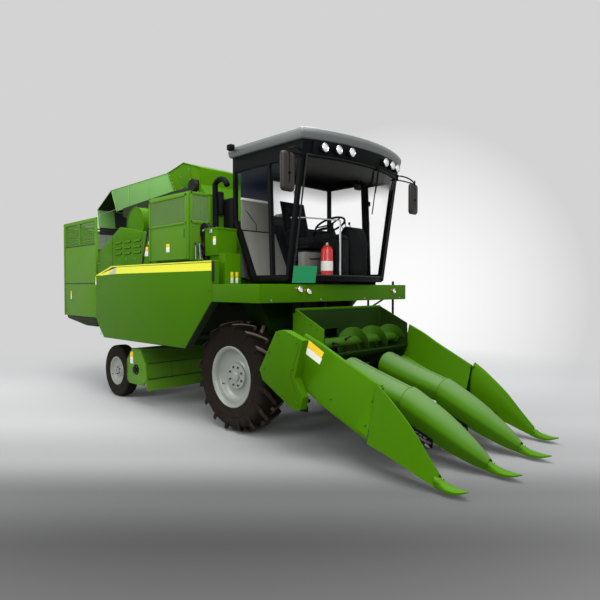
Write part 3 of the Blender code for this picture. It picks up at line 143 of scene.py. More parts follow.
@dataclass(frozen=True)
class Finish:
    """A surface: its colour, its gloss and how far its colour and height wander.

    grain is the size of the surface's bumps in metres, relief their depth, drift the share by which the colour
    wanders over patches of half a metre, shine its specular level, and soil the share of dust on low surfaces.
    Painted sky light: faces turned to the sky fade to a paler colour, between the two values of turned_up for
    the normal's z. Painted shade: under is the colour that upright and lower faces deepen to, between those of
    turned_down.
    """

    name: str
    colour: str
    roughness: float
    metallic: float = 0.0
    coat: float = 0.0
    grain: float = 0.0
    relief: float = 0.0
    drift: float = 0.06
    soil: float = 0.0
    soil_colour: str = "8A8172"
    soil_top: float = 0.9
    shine: float = 0.5
    bleach: str = ""
    under: str = ""
    turned_up: Pair = (0.50, 1.0)
    turned_down: Pair = (0.40, -0.25)

    def material(self) -> bpy.types.Material:
        """The finish's material, made once."""
        found = bpy.data.materials.get(self.name)
        return found if found else self.make()

    def begin(self, inputs: dict[str, float]) -> tuple[bpy.types.Material, bpy.types.NodeTree, bpy.types.Node]:
        """Start the node material in the finish's colour.

        Args:
            inputs: the shader's inputs by name, and their values.

        Returns:
            The material, its tree and its shader.
        """
        material = bpy.data.materials.new(self.name)
        material.use_nodes = True
        material.diffuse_color = linear(self.colour)
        shader = material.node_tree.nodes["Principled BSDF"]
        shader.inputs["Base Color"].default_value = linear(self.colour)
        for name, value in inputs.items():
            shader.inputs[name].default_value = value
        return material, material.node_tree, shader

    def wandering(self, tree: bpy.types.NodeTree, where: bpy.types.NodeSocket) -> bpy.types.NodeSocket:
        """The colour, lighter and darker over patches of half a metre."""
        patches = add_node(tree, "TexNoise", {":Scale": 2.2, ":Detail": 4.0}, {"Vector": where})
        swing = add_node(
            tree, "MapRange", {":3": 1 - self.drift, ":4": 1 + self.drift}, {"Value": patches.outputs["Fac"]},
        )
        tinted = add_node(
            tree, "HueSaturation", {":Color": linear(self.colour)}, {"Value": swing.outputs["Result"]},
        )
        return tinted.outputs["Color"]

    def faded(self, tree: bpy.types.NodeTree, colour: bpy.types.NodeSocket) -> bpy.types.NodeSocket:
        """Painted light and shade: the colour, paler where the sky attribute says the face looks up, deeper
        where down.
        """
        for target, (start, end) in ((self.bleach, self.turned_up), (self.under, self.turned_down)):
            if target:
                sky = add_node(tree, "Attribute", {"attribute_name": "sky"}).outputs["Fac"]
                share = add_node(
                    tree, "MapRange", {"interpolation_type": "SMOOTHSTEP", ":1": start, ":2": end},
                    {"Value": sky},
                )
                mixed = add_node(
                    tree, "Mix", {"data_type": "RGBA", ":7": linear(target)},
                    {0: share.outputs["Result"], 6: colour},
                )
                colour = mixed.outputs[2]
        return colour

    def soiled(
        self, tree: bpy.types.NodeTree, where: bpy.types.NodeSocket, colour: bpy.types.NodeSocket,
    ) -> bpy.types.NodeSocket:
        """The colour under streaks of dust that thin out towards soil_top."""
        height = add_node(tree, "SeparateXYZ", None, {"Vector": where}).outputs["Z"]
        low = add_node(
            tree, "MapRange", {":1": self.soil_top, ":2": 0.0, ":3": 0.0, ":4": self.soil}, {"Value": height},
        )
        streaks = add_node(
            tree, "TexNoise", {":Scale": 9.0, ":Detail": 6.0, ":Roughness": 0.7}, {"Vector": where},
        )
        share = add_node(
            tree, "Math", {"operation": "MULTIPLY"}, {0: low.outputs["Result"], 1: streaks.outputs["Fac"]},
        )
        dusty = add_node(
            tree, "Mix", {"data_type": "RGBA", ":7": linear(self.soil_colour)},
            {0: share.outputs["Value"], 6: colour},
        )
        return dusty.outputs[2]

    def make(self) -> bpy.types.Material:
        """Build the node material on Object coordinates.

        Returns:
            The material.
        """
        material, tree, shader = self.begin({
            "Metallic": self.metallic,
            "Specular IOR Level": self.shine,
            "Coat Weight": self.coat,
            "Coat Roughness": 0.08,
        })
        where = add_node(tree, "TexCoord").outputs["Object"]
        colour = self.faded(tree, self.wandering(tree, where))
        if self.soil:
            colour = self.soiled(tree, where, colour)
        tree.links.new(colour, shader.inputs["Base Color"])
        fine = add_node(tree, "TexNoise", {":Scale": 14.0, ":Detail": 5.0}, {"Vector": where})
        gloss = add_node(
            tree, "MapRange", {":3": self.roughness * 0.88, ":4": min(1.0, self.roughness * 1.14)},
            {"Value": fine.outputs["Fac"]},
        )
        tree.links.new(gloss.outputs["Result"], shader.inputs["Roughness"])
        if self.grain:
            skin = add_node(tree, "TexNoise", {":Scale": 1 / self.grain, ":Detail": 3.0}, {"Vector": where})
            bump = add_node(
                tree, "Bump", {":Strength": 1.0, ":Distance": self.relief}, {"Height": skin.outputs["Fac"]},
            )
            tree.links.new(bump.outputs["Normal"], shader.inputs["Normal"])
        return material


@dataclass(frozen=True)
class Glass(Finish):
    """Safety glass. It lets the ground colour through by alpha, and painted shade makes its top band darker and
    less clear.
    """

    clear: float = 0.20
    shade: float = 0.20
    shade_from: float = 2.7
    shade_to: float = 3.0

    def make(self) -> bpy.types.Material:
        """Build the glass, its alpha rising towards a shaded top.

        Returns:
            A see-through material.
        """
        material, tree, shader = self.begin({"Roughness": self.roughness, "IOR": 1.45})
        where = add_node(tree, "TexCoord").outputs["Object"]
        height = add_node(tree, "SeparateXYZ", None, {"Vector": where}).outputs["Z"]
        band = add_node(
            tree, "MapRange",
            {
                "interpolation_type": "SMOOTHSTEP", ":1": self.shade_from, ":2": self.shade_to,
                ":3": self.clear, ":4": self.shade,
            },
            {"Value": height},
        )
        tree.links.new(band.outputs["Result"], shader.inputs["Alpha"])
        return material


@dataclass(frozen=True)
class Lens(Finish):
    """A lamp's ribbed lens: clear moulded plastic over a bright bowl."""

    ribs: float = 0.006

    def make(self) -> bpy.types.Material:
        """Build the lens with fine upright ribs.

        Returns:
            A glossy material with a ribbed bump.
        """
        material, tree, shader = self.begin(
            {"Roughness": self.roughness, "Metallic": self.metallic, "Coat Weight": 1.0}
        )
        where = add_node(tree, "TexCoord").outputs["Object"]
        wave = add_node(
            tree, "TexWave", {"bands_direction": "Y", ":Scale": 1 / self.ribs / 6.283}, {"Vector": where},
        )
        bump = add_node(tree, "Bump", {":Strength": 0.6, ":Distance": 0.002}, {"Height": wave.outputs["Fac"]})
        tree.links.new(bump.outputs["Normal"], shader.inputs["Normal"])
        return material


# Sheet steel in two coats of gloss enamel: smooth, with the faint peel of sprayed paint. Its upward faces carry
# painted sky light
GREEN = Finish(
    "green gloss enamel on sheet steel", "427303", 0.38, grain=0.010, relief=0.00025, drift=0.05, shine=0.04,
    bleach="558A1C",
)
# The corn hoods and snouts: painted sky light turns their crowns grey green, painted shade their flanks deep
# green
HOOD_GREEN = Finish(
    "green enamel, bleached crowns", "467808", 0.42, grain=0.010, relief=0.00025, drift=0.06, shine=0.08,
    bleach="6F9159", under="2A4E07", turned_up=(0.50, 1.02),
)
# The same enamel where the trough and the elevator's foot lie in deep shade
THROAT = Finish("green enamel in the trough's shade", "1B330B", 0.55, drift=0.25, shine=0.05)
# Darker green enamel on the auger: painted shade of the trough, with a patchy tone and coarse bumps
AUGER_SHADED_GREEN = Finish(
    "worn green enamel on the auger", "3A6412", 0.45, grain=0.02, relief=0.0006, drift=0.30, shine=0.15,
)
# The same enamel, painted paler as sky-lit on the bin and the screen box, and paler still on its upward faces
GREEN_UPPER = Finish(
    "green enamel, sky-lit panels", "56871F", 0.40, grain=0.010, relief=0.00025, drift=0.06, shine=0.07,
    bleach="7DA85A",
)
# The discharge hood's enamel, painted pale as sky-lit
GREEN_PALE = Finish(
    "green enamel, bleached hood", "74A95B", 0.40, grain=0.010, relief=0.00025, drift=0.08, shine=0.12,
)
# Frame and axle parts are painted once, less glossy, and carry some dust
FRAME_GREEN = Finish(
    "dark green enamel on frame steel", "18260E", 0.55, grain=0.006, relief=0.0006, drift=0.10, soil=0.25,
    soil_colour="3A352B", shine=0.15,
)
# Rolled and welded parts in satin black enamel
BLACK = Finish(
    "satin black enamel on steel", "0E0F10", 0.50, grain=0.005, relief=0.0003, drift=0.12, shine=0.06,
)
# Machinery deep in the body: oily cast iron and steel, nearly black
MACHINE = Finish("oily dark cast iron", "131514", 0.58, shine=0.15, grain=0.012, relief=0.002, drift=0.25)
# Moulded fibreglass roof in grey gel coat, its upper faces painted paler with sky light
ROOF = Finish(
    "pale grey gel coat on moulded fibreglass", "62686B", 0.40, coat=0.05, bleach="959B9F",
    turned_up=(0.1, 0.8), grain=0.012, relief=0.0003, drift=0.03,
)
# The same gel coat, darker down the brow: painted shade
ROOF_BROW_SHADE = Finish(
    "grey gel coat of the roof's brow", "5A5F5D", 0.42, coat=0.05, grain=0.012, relief=0.0003, drift=0.04,
)
# Silver wheel paint over pressed steel
SILVER = Finish(
    "silver wheel enamel on pressed steel", "9BA098", 0.38, metallic=0.25, grain=0.006, relief=0.0004,
    drift=0.05, soil=0.25, soil_top=1.0,
)
# Tyre rubber, matt and a little brown with field dust
RUBBER = Finish(
    "dusty tyre rubber", "15110D", 0.82, shine=0.08, grain=0.008, relief=0.0010, drift=0.18, soil=0.65,
    soil_colour="3E362E", soil_top=1.6,
)
# The lugs' running faces, rubbed brown with dry soil, and a painted highlight on those that face up
LUG_DUST_AND_HIGHLIGHT = Finish(
    "dry soil on rubber lugs", "4A4037", 0.90, shine=0.05, grain=0.006, relief=0.0010, drift=0.35,
    bleach="8A7C6D", turned_up=(0.2, 1.0),
)
# Turned and ground steel
STEEL = Finish("ground steel", "9A9FA0", 0.28, metallic=1.0, grain=0.004, relief=0.0002, drift=0.08)
# Bright zinc on bolts and pins
ZINC = Finish("zinc plated steel", "A9ADB0", 0.33, metallic=0.9, drift=0.10)
# Mirror-bright plated tube and lamp rings
CHROME = Finish("chromed steel tube", "D8DCDE", 0.10, metallic=1.0, drift=0.02)
# Worn knives and rolls
WORN = Finish("worn bare steel", "5C5A55", 0.50, metallic=0.8, grain=0.010, relief=0.001, drift=0.3)
# Moulded parts in the cab: black with a fine leather grain, and the pale trim behind them
PLASTIC = Finish(
    "black moulded polypropylene", "0C0D0F", 0.52, grain=0.0025, relief=0.0004, drift=0.08, shine=0.10,
)
LINING = Finish("grey beige moulded trim", "77776F", 0.60, grain=0.0030, relief=0.0004, drift=0.05)
# Dull extruded rubber on edges and hoses
RUBBER_SEAL = Finish("black rubber seal", "101112", 0.65, drift=0.05)
# Coarse matt weave on the seat
CLOTH = Finish("black woven seat cloth", "141518", 0.92, grain=0.0030, relief=0.0010, drift=0.10, shine=0.2)
# Cab linings: dark felt under the roof, and the blue-black film of the rear wall
LINING_DARK = Finish("charcoal felt lining", "141416", 0.90, grain=0.004, relief=0.001, drift=0.12, shine=0.1)
NIGHT = Finish("blue-black tinted film", "1B2338", 0.25, drift=0.15, shine=0.3)
# Half-gloss moulded shell, warmer than the black parts
SHELL = Finish(
    "dark brown moulded mirror shell", "2A2521", 0.40, grain=0.0025, relief=0.0003, drift=0.10, shine=0.3,
)
# Smooth self-adhesive vinyl, with a slight gloss
YELLOW = Finish("yellow vinyl band", "F0F01C", 0.35, coat=0.3, drift=0.02)
WHITE = Finish("white vinyl patch", "E9E9DE", 0.40, drift=0.03)
AMBER = Finish("amber vinyl patch", "F7CB26", 0.40, drift=0.03)
CARD_GREEN = Finish("green laminated card", "0A9058", 0.45, drift=0.03)
# High gloss enamel and moulded lenses, each with a clear top coat
RED = Finish("red enamel on a steel bottle", "C4231C", 0.28, coat=0.3, drift=0.04)
RED_LENS = Finish("red moulded lens", "A01512", 0.15, coat=0.6, drift=0.02)
AMBER_LENS = Finish("amber moulded lens", "E2741A", 0.15, coat=0.6, drift=0.02)
# Quiet colours: the shadow line and pale chip of the band, faces and grooves in shade, and the cloth behind the
# mesh
BAND_LINE = Finish("dark olive vinyl line", "4A5312", 0.45, drift=0.02)
SHADED = Finish("shaded enamel under the bin", "232B18", 0.55, drift=0.15, shine=0.15)
GROOVE = Finish("shaded pressed groove", "1D3309", 0.6, drift=0.05)
PALE_CHIP = Finish("pale grey vinyl", "B9BDAE", 0.45, drift=0.03)
SCREEN_DARK = Finish("fine screen cloth in shade", "6C8A55", 0.7, grain=0.004, relief=0.001, drift=0.25)
# Ribbed lenses that break the light into fine upright lines
LAMP_LENS = Lens("ribbed lens over a bright lamp bowl", "F1F3F0", 0.12, metallic=0.35)
# Silvered glass, almost without blur
MIRROR = Finish("silvered mirror glass", "C8CED0", 0.03, metallic=1.0, drift=0.01)
# Safety glass that lets the surround through, with painted shade of the dark cab in its top band
SCREEN = Glass(
    "tinted windscreen glass", "14140F", 0.02, clear=0.012, shade=0.80, shade_from=2.80, shade_to=2.93,
)
PANE = Glass("tinted side glass", "1A2129", 0.02, clear=0.025, shade=0.35, shade_from=2.75, shade_to=3.0)
# Fine wire cloth behind the bin's mesh: half of it is air
WIRE_CLOTH = Glass("fine green wire cloth", "5F9332", 0.7, clear=0.55, shade=0.55)


# Making pieces


def place(axis: Axis, pair: Pair, along: float) -> Point:
    """Put a section's point in space.

    Args:
        axis: the axis that the section is drawn across.
        pair: the section's point, in the order x, y, z without that axis.
        along: the place on that axis.

    Returns:
        The point in stations.
    """
    if axis is Axis.X:
        return along, pair[0], pair[1]
    if axis is Axis.Y:
        return pair[0], along, pair[1]
    return pair[0], pair[1], along


def about(point: Sequence[float], axis: Axis, degrees: float) -> Matrix:
    """A turn about an axis through a point."""
    centre = Matrix.Translation(point)
    return centre @ Matrix.Rotation(math.radians(degrees), 4, axis.value) @ centre.inverted()


def arc(centre: Pair, radius: float, start: float, end: float, steps: int) -> list[Pair]:
    """Points on an arc, its angles in degrees."""
    turns = [math.radians(start + (end - start) * k / steps) for k in range(steps + 1)]
    return [(centre[0] + radius * math.cos(t), centre[1] + radius * math.sin(t)) for t in turns]


def loop_profile(half: Pair, radius: float, steps: int) -> list[Pair]:
    """A round profile for a ring: half its width along the axis and across it, and the ring's radius."""
    turns = [k * math.tau / steps for k in range(steps)]
    return [(half[0] * math.sin(t), radius + half[1] * math.cos(t)) for t in turns]


def draw_out(part: bmesh.types.BMesh, face: bmesh.types.BMFace, way: Vector) -> None:
    """Extrude a face along a vector into a closed form."""
    made = bmesh.ops.extrude_face_region(part, geom=[face])
    bmesh.ops.translate(part, vec=way, verts=[v for v in made["geom"] if isinstance(v, bmesh.types.BMVert)])
    bmesh.ops.recalc_face_normals(part, faces=part.faces)


class Work:
    """A piece in the making. Its parts come from bmesh operators, in stations."""

    def __init__(self) -> None:
        self.mesh = bmesh.new()
        self.finishes: list[Finish] = []

    def take(
        self, part: bmesh.types.BMesh, finish: Finish, bevel: float = 0.0, segments: int = 2,
        turn: Matrix | None = None, sharp: float = SHARP,
    ) -> None:
        """Round a part's edges, give it its finish and join it to the piece.

        Args:
            part: the part, which is used up.
            finish: its finish.
            bevel: the width of its rounded edges, or 0.
            segments: the steps across a rounded edge.
            turn: a matrix that moves it, or None.
            sharp: the angle in degrees past which an edge is rounded.
        """
        if bevel:
            edges = [
                e
                for e in part.edges if len(e.link_faces) == 2 and e.calc_face_angle(0.0) > math.radians(sharp)
            ]
            bmesh.ops.bevel(
                part, geom=edges, offset=bevel, offset_type="OFFSET", affect="EDGES", segments=segments,
                profile=0.5, clamp_overlap=True, material=-1,
            )
        if turn is not None:
            bmesh.ops.transform(part, matrix=turn, verts=part.verts)
        if finish not in self.finishes:
            self.finishes.append(finish)
        index = self.finishes.index(finish)
        for face in part.faces:
            face.material_index = index
        scratch = bpy.data.meshes.new("scratch")
        part.to_mesh(scratch)
        part.free()
        self.mesh.from_mesh(scratch)
        bpy.data.meshes.remove(scratch)

    def block(
        self, x: Pair, y: Pair, z: Pair, finish: Finish, bevel: float = 0.003, turn: Matrix | None = None,
    ) -> None:
        """A block between pairs of limits, its edges rounded."""
        part = bmesh.new()
        limits = [sorted(pair) for pair in (x, y, z)]
        middle = Matrix.Translation([(a + b) / 2 for a, b in limits])
        size = Matrix.Diagonal([b - a for a, b in limits] + [1.0])
        bmesh.ops.create_cube(part, size=1.0, matrix=middle @ size)
        self.take(part, finish, bevel, turn=turn)

    def stickers(
        self, x: Pair, y: Pair, bands: Iterable[tuple[float, float, Finish]], bevel: float = 0.0005,
    ) -> None:
        """Blank patches one above the other, each from its low to its high edge."""
        for low, high, finish in bands:
            self.block(x, y, (low, high), finish, bevel)

    def plate(
        self, outline: Sequence[Pair], axis: Axis, span: Pair, finish: Finish, bevel: float = 0.0,
        segments: int = 2, turn: Matrix | None = None,
    ) -> None:
        """A plate: an outline across an axis, drawn out over a span of it."""
        part = bmesh.new()
        low, high = sorted(span)
        face = part.faces.new([part.verts.new(place(axis, p, low)) for p in outline])
        draw_out(part, face, Vector(place(axis, (0.0, 0.0), high - low)))
        self.take(part, finish, bevel, segments, turn)

    def turned(
        self, profile: Sequence[Pair], centre: Point, axis: Axis, finish: Finish, steps: int = 48,
        loop: bool = False, sweep: float = 360.0, turn: Matrix | None = None,
    ) -> None:
        """Spin a profile about an axis.

        Args:
            profile: points as (offset along the axis, radius).
            centre: the point that offsets are measured from.
            axis: the axis.
            finish: the part's finish.
            steps: the steps of the spin.
            loop: whether the profile's last point joins its first.
            sweep: the spin in degrees.
            turn: a matrix that moves the result, or None.
        """
        part = bmesh.new()
        verts = [part.verts.new((radius, 0.0, offset)) for offset, radius in profile]
        pairs = list(zip(verts, verts[1:]))
        if loop:
            pairs.append((verts[-1], verts[0]))
        edges = [part.edges.new(pair) for pair in pairs]
        full = sweep >= 360.0
        bmesh.ops.spin(
            part, geom=verts + edges, cent=(0, 0, 0), axis=(0, 0, 1), angle=math.radians(sweep), steps=steps,
            use_merge=full,
        )
        bmesh.ops.remove_doubles(part, verts=part.verts, dist=MERGE)
        aim = {
            Axis.X: Matrix.Rotation(math.pi / 2, 4, "Y"), Axis.Y: Matrix.Rotation(-math.pi / 2, 4, "X"),
            Axis.Z: Matrix(),
        }[axis]
        bmesh.ops.transform(part, matrix=Matrix.Translation(centre) @ aim, verts=part.verts)
        bmesh.ops.recalc_face_normals(part, faces=part.faces)
        self.take(part, finish, turn=turn)

    def rod(
        self, start: Sequence[float], end: Sequence[float], radius: float, finish: Finish, sides: int = 20,
        bevel: float = 0.0, tip: float | None = None, turn: Matrix | None = None,
    ) -> None:
        """A round bar, or a cone if tip gives its end's radius."""
        a, b = Vector(start), Vector(end)
        aim = (b - a).to_track_quat("Z", "Y").to_matrix().to_4x4()
        part = bmesh.new()
        bmesh.ops.create_cone(
            part, cap_ends=True, segments=sides, radius1=radius, radius2=radius if tip is None else tip,
            depth=(b - a).length, matrix=Matrix.Translation((a + b) / 2) @ aim,
        )
        self.take(part, finish, bevel, turn=turn, sharp=ROUND_SHARP)

    def tube(
        self, points: Iterable[Sequence[float]], radius: float, finish: Finish, sides: int = 12,
        bent: bool = True, turn: Matrix | None = None,
    ) -> None:
        """A tube through points, bent smoothly or with straight runs."""
        route = bpy.data.curves.new("route", "CURVE")
        route.dimensions = "3D"
        path = list(points)
        spline = route.splines.new("NURBS" if bent else "POLY")
        spline.points.add(len(path) - 1)
        for spot, at in zip(spline.points, path):
            spot.co = (*at, 1.0)
        if bent:
            spline.order_u = min(4, len(path))
            spline.use_endpoint_u = True
            spline.resolution_u = 6
        route.bevel_depth = radius
        route.bevel_resolution = max(0, (sides - 4) // 2)
        route.use_fill_caps = True
        holder = bpy.data.objects.new("route", route)
        mesh = bpy.data.meshes.new_from_object(holder)
        part = bmesh.new()
        part.from_mesh(mesh)
        bmesh.ops.remove_doubles(part, verts=part.verts, dist=MERGE)
        bmesh.ops.recalc_face_normals(part, faces=part.faces)
        bpy.data.objects.remove(holder)
        bpy.data.curves.remove(route)
        bpy.data.meshes.remove(mesh)
        self.take(part, finish, turn=turn)

    def seam(self, points: Iterable[Sequence[float]], radius: float, finish: Finish, sides: int = 8) -> None:
        """A raised seam, hem or trim with straight runs."""
        self.tube(points, radius, finish, sides, bent=False)

    def bolts(
        self, places: Iterable[Sequence[float]], out: Sequence[float], radius: float, finish: Finish = ZINC,
        turn: Matrix | None = None,
    ) -> None:
        """Hexagon bolt heads on washers, their heads pointing along out."""
        way = Vector(out).normalized()
        for spot in places:
            at = Vector(spot)
            self.rod(at - way * 0.002, at + way * 0.003, radius * 1.35, finish, 16, turn=turn)
            self.rod(at + way * 0.003, at + way * (0.003 + radius * 0.75), radius, finish, 6, 0.0008, turn=turn)

    def lofted(
        self, rings: Sequence[Sequence[Point]], finish: Finish, bevel: float = 0.0, capped: bool = True,
        wall: float = 0.0, turn: Matrix | None = None, sharp: float = SHARP,
    ) -> None:
        """Bridge rings of points into a skin, closed at its ends or given a wall."""
        part = bmesh.new()
        loops = []
        for ring in rings:
            verts = [part.verts.new(p) for p in ring]
            loops.append([part.edges.new((verts[i], verts[(i + 1) % len(verts)])) for i in range(len(verts))])
        for a, b in zip(loops, loops[1:]):
            bmesh.ops.bridge_loops(part, edges=a + b)
        if capped:
            for loop in (loops[0], loops[-1]):
                bmesh.ops.contextual_create(part, geom=loop)
        bmesh.ops.recalc_face_normals(part, faces=part.faces)
        if wall:
            bmesh.ops.solidify(part, geom=part.faces, thickness=wall)
        self.take(part, finish, bevel, turn=turn, sharp=sharp)

    def patch(self, corners: Sequence[Point], finish: Finish, thick: float = 0.0012) -> None:
        """A thin flat patch through corners that run round it, raised on its own side."""
        part = bmesh.new()
        face = part.faces.new([part.verts.new(p) for p in corners])
        part.normal_update()
        draw_out(part, face, face.normal * thick)
        self.take(part, finish)

    def node(
        self, name: str, finish: Finish, bevel: float = 0.004, segments: int = 2, sharp: float = SHARP,
    ) -> None:
        """A merged copy of a CAD node, its edges rounded."""
        part = bmesh.new()
        part.from_mesh(frame["nodes"][name].data)
        bmesh.ops.translate(part, vec=(-AXLE_X, 0, 0), verts=part.verts)
        bmesh.ops.remove_doubles(part, verts=part.verts, dist=MERGE)
        bmesh.ops.dissolve_limit(part, angle_limit=math.radians(1.0), verts=part.verts, edges=part.edges)
        self.take(part, finish, bevel, segments, sharp=sharp)

    def repaint(self, finish: Finish, rule: Callable[[Vector, Vector], bool]) -> None:
        """Give a finish to the faces that a rule picks by their middle and their normal."""
        self.mesh.normal_update()
        self.finishes.append(finish)
        for face in self.mesh.faces:
            if rule(face.calc_center_median(), face.normal):
                face.material_index = len(self.finishes) - 1

    def mirrored(self) -> "Work":
        """The piece reflected to the machine's other side."""
        other = Work()
        other.mesh = self.mesh.copy()
        bmesh.ops.transform(other.mesh, matrix=MIRRORED, verts=other.mesh.verts)
        bmesh.ops.reverse_faces(other.mesh, faces=other.mesh.faces)
        other.finishes = list(self.finishes)
        return other

    def done(
        self, name: str, node: str, replaces: Sequence[str] = (), smooth: float = CRISP, slot: str = "",
    ) -> bpy.types.Object:
        """Turn the piece into an object that rides on a node's body.

        Args:
            name: the object's name.
            node: the CAD node whose body it rides on.
            replaces: the CAD nodes that it stands for.
            smooth: the angle in degrees below which faces are shaded smooth.
            slot: not used.

        Returns:
            The new object.
        """
        bmesh.ops.transform(self.mesh, matrix=Matrix.Translation((AXLE_X, 0, 0)), verts=self.mesh.verts)
        mesh = bpy.data.meshes.new(name)
        self.mesh.to_mesh(mesh)
        self.mesh.free()
        mesh.shade_smooth()
        mesh.set_sharp_from_angle(angle=math.radians(smooth))
        sky = mesh.attributes.new("sky", "FLOAT", "CORNER")
        sky.data.foreach_set("value", [corner.vector.z for corner in mesh.corner_normals])
        for finish in self.finishes:
            mesh.materials.append(finish.material())
        piece = bpy.data.objects.new(name, mesh)
        bpy.context.scene.collection.objects.link(piece)
        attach(piece, BODY_OF[node])
        if replaces:
            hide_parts(*replaces)
        LOG.info("%s: %d faces on %s", name, len(mesh.polygons), BODY_OF[node])
        return piece

    def shown(self, node: str, smooth: float = CRISP) -> None:
        """Show the piece in place of a CAD node."""
        self.done(f"{node}_shown", node, (node,), smooth)


def show_pair(make: Callable[[], Work], stem: str, smooth: float) -> None:
    """Show a piece that is drawn on the right in place of its node on either side."""
    for side in Side:
        work = make()
        if side is Side.LEFT:
            work = work.mirrored()
        work.shown(f"{stem}_{side.word}", smooth)


@dataclass(frozen=True)
class Carried:
    """A CAD node whose form is right: it is shown as a copy with rounded edges and its real finish.

    shade is a second finish, for the faces that the rule shaded picks by their middle and their normal. Faces
    that cross the height split are divided there first.
    """

    node: str
    finish: Finish
    bevel: float = 0.004
    segments: int = 2
    smooth: float = CRISP
    shade: Finish | None = None
    shaded: Callable[[Vector, Vector], bool] | None = None
    split: float = 0.0

    def build(self) -> None:
        """Make the copy and hide the node."""
        work = Work()
        work.node(self.node, self.finish, self.bevel, self.segments)
        if self.shaded:
            mesh = work.mesh
            everything = mesh.verts[:] + mesh.edges[:] + mesh.faces[:]
            bmesh.ops.bisect_plane(mesh, geom=everything, plane_co=(0, 0, self.split), plane_no=(0, 0, 1))
            work.repaint(self.shade, self.shaded)
        work.shown(self.node, self.smooth)


@dataclass(frozen=True)
class Painted:
    """A CAD node that stays as it is and only gets its finish."""

    node: str
    finish: Finish

    def build(self) -> None:
        """Put the finish on the node."""
        mesh = frame["nodes"][self.node].data
        mesh.materials.clear()
        mesh.materials.append(self.finish.material())


@dataclass(frozen=True)
class Lugs:
    """Slanted bars in two rows round a drive tyre, each from its middle to its shoulder."""

    tread: float = 0.580
    height: float = 0.045
    count: int = 16
    thick: float = 0.042
    sweep: float = 16.0
    drop: float = 0.022
    shares: tuple[float, ...] = (-0.05, 0.12, 0.34, 0.56, 0.78, 0.92, 1.0)

    def add(self, work: Work, centre: Point, half: float) -> None:
        """Loft every bar onto a tyre's tread.

        Args:
            work: the tyre in the making.
            centre: the wheel's centre.
            half: half the tyre's width.
        """
        for k in range(self.count):
            for side in (-1, 1):
                rings = []
                for share in self.shares:
                    turn = math.radians(
                        -90 + 360 / self.count * (k + 0.25 * (1 + side)) + self.sweep * max(share, 0.0)
                    )
                    edge = self.thick / 2 / self.tread * (1 + 0.25 * share)
                    outer = self.tread + self.height - self.drop * share ** 2
                    foot = self.tread - 0.02 - 0.07 * max(share, 0.0) ** 3
                    y = centre[1] + side * share * half
                    corners = (
                        (turn - edge * 1.3, foot), (turn + edge * 1.3, foot), (turn + edge, outer),
                        (turn - edge, outer),
                    )
                    rings.append(
                        [(centre[0] + r * math.cos(a), y, centre[2] + r * math.sin(a)) for a, r in corners]
                    )
                work.lofted(rings, RUBBER, bevel=0.006, sharp=40.0)


@dataclass(frozen=True)
class Wheel:
    """A wheel on its right-hand side of the machine: profiles are (outward offset, radius) from its middle."""

    name: str
    centre: Point
    carcass: tuple[Pair, ...]
    rim: tuple[Pair, ...]
    nuts: int
    nut_ring: float
    nut_face: float
    nut_size: float
    valve_ring: float
    lugs: Lugs | None = None
    steps: int = 96

    def tyre(self) -> Work:
        """The tyre: a spun carcass with moulded rings, and lugs if it has any."""
        work = Work()
        outside = [(-o, r) for o, r in self.carcass]
        inside = [(o, r) for o, r in reversed(self.carcass)]
        work.turned(outside + inside, self.centre, Axis.Y, RUBBER, self.steps, loop=True)
        if self.lugs:
            self.lugs.add(work, self.centre, max(o for o, _ in self.carcass))
            x, _, z = self.centre
            # The lugs' running faces carry dry soil, and those facing up a painted highlight
            work.repaint(
                LUG_DUST_AND_HIGHLIGHT, lambda middle,
                normal: math.hypot(middle.x - x, middle.z - z) > self.lugs.tread + 0.012,
            )
        return work

    def disc(self) -> Work:
        """The pressed rim with its ring of hub nuts and its valve."""
        work = Work()
        work.turned([(-o, r) for o, r in self.rim], self.centre, Axis.Y, SILVER, self.steps, loop=True)
        x, y, z = self.centre
        face = y - self.nut_face
        for k in range(self.nuts):
            turn = 2 * math.pi * (k + 0.5) / self.nuts
            across, up = x + self.nut_ring * math.cos(turn), z + self.nut_ring * math.sin(turn)
            # Washer, nut and the end of the stud, each from an inner to an outer offset
            work.rod((across, face + 0.002, up), (across, face - 0.004, up), self.nut_size * 1.5, SILVER, 20)
            work.rod((across, face - 0.003, up), (across, face - 0.017, up), self.nut_size, MACHINE, 6, 0.001)
            work.rod(
                (across, face - 0.016, up), (across, face - 0.026, up), self.nut_size * 0.55, ZINC, 12, 0.001,
            )
        cap = (
            (0.004, 0.0), (0.022, 0.0), (0.022, self.nut_ring * 0.42), (0.016, self.nut_ring * 0.52),
            (-0.004, self.nut_ring * 0.56),
        )
        work.turned([(-self.nut_face - o, r) for o, r in cap], (x, y, z), Axis.Y, SILVER, 36)
        turn = math.radians(205)
        across, up = x + self.valve_ring * math.cos(turn), z + self.valve_ring * math.sin(turn)
        work.rod((across, y - 0.02, up), (across, y - 0.085, up), 0.004, ZINC, 10)
        work.rod((across, y - 0.08, up), (across, y - 0.098, up), 0.006, RUBBER_SEAL, 10)
        return work

    def build(self) -> None:
        """Show the tyre and the rim on both sides."""
        show_pair(self.tyre, f"{self.name}_tyre", SOFT)
        show_pair(self.disc, f"{self.name}_wheel_rim", SOFT)


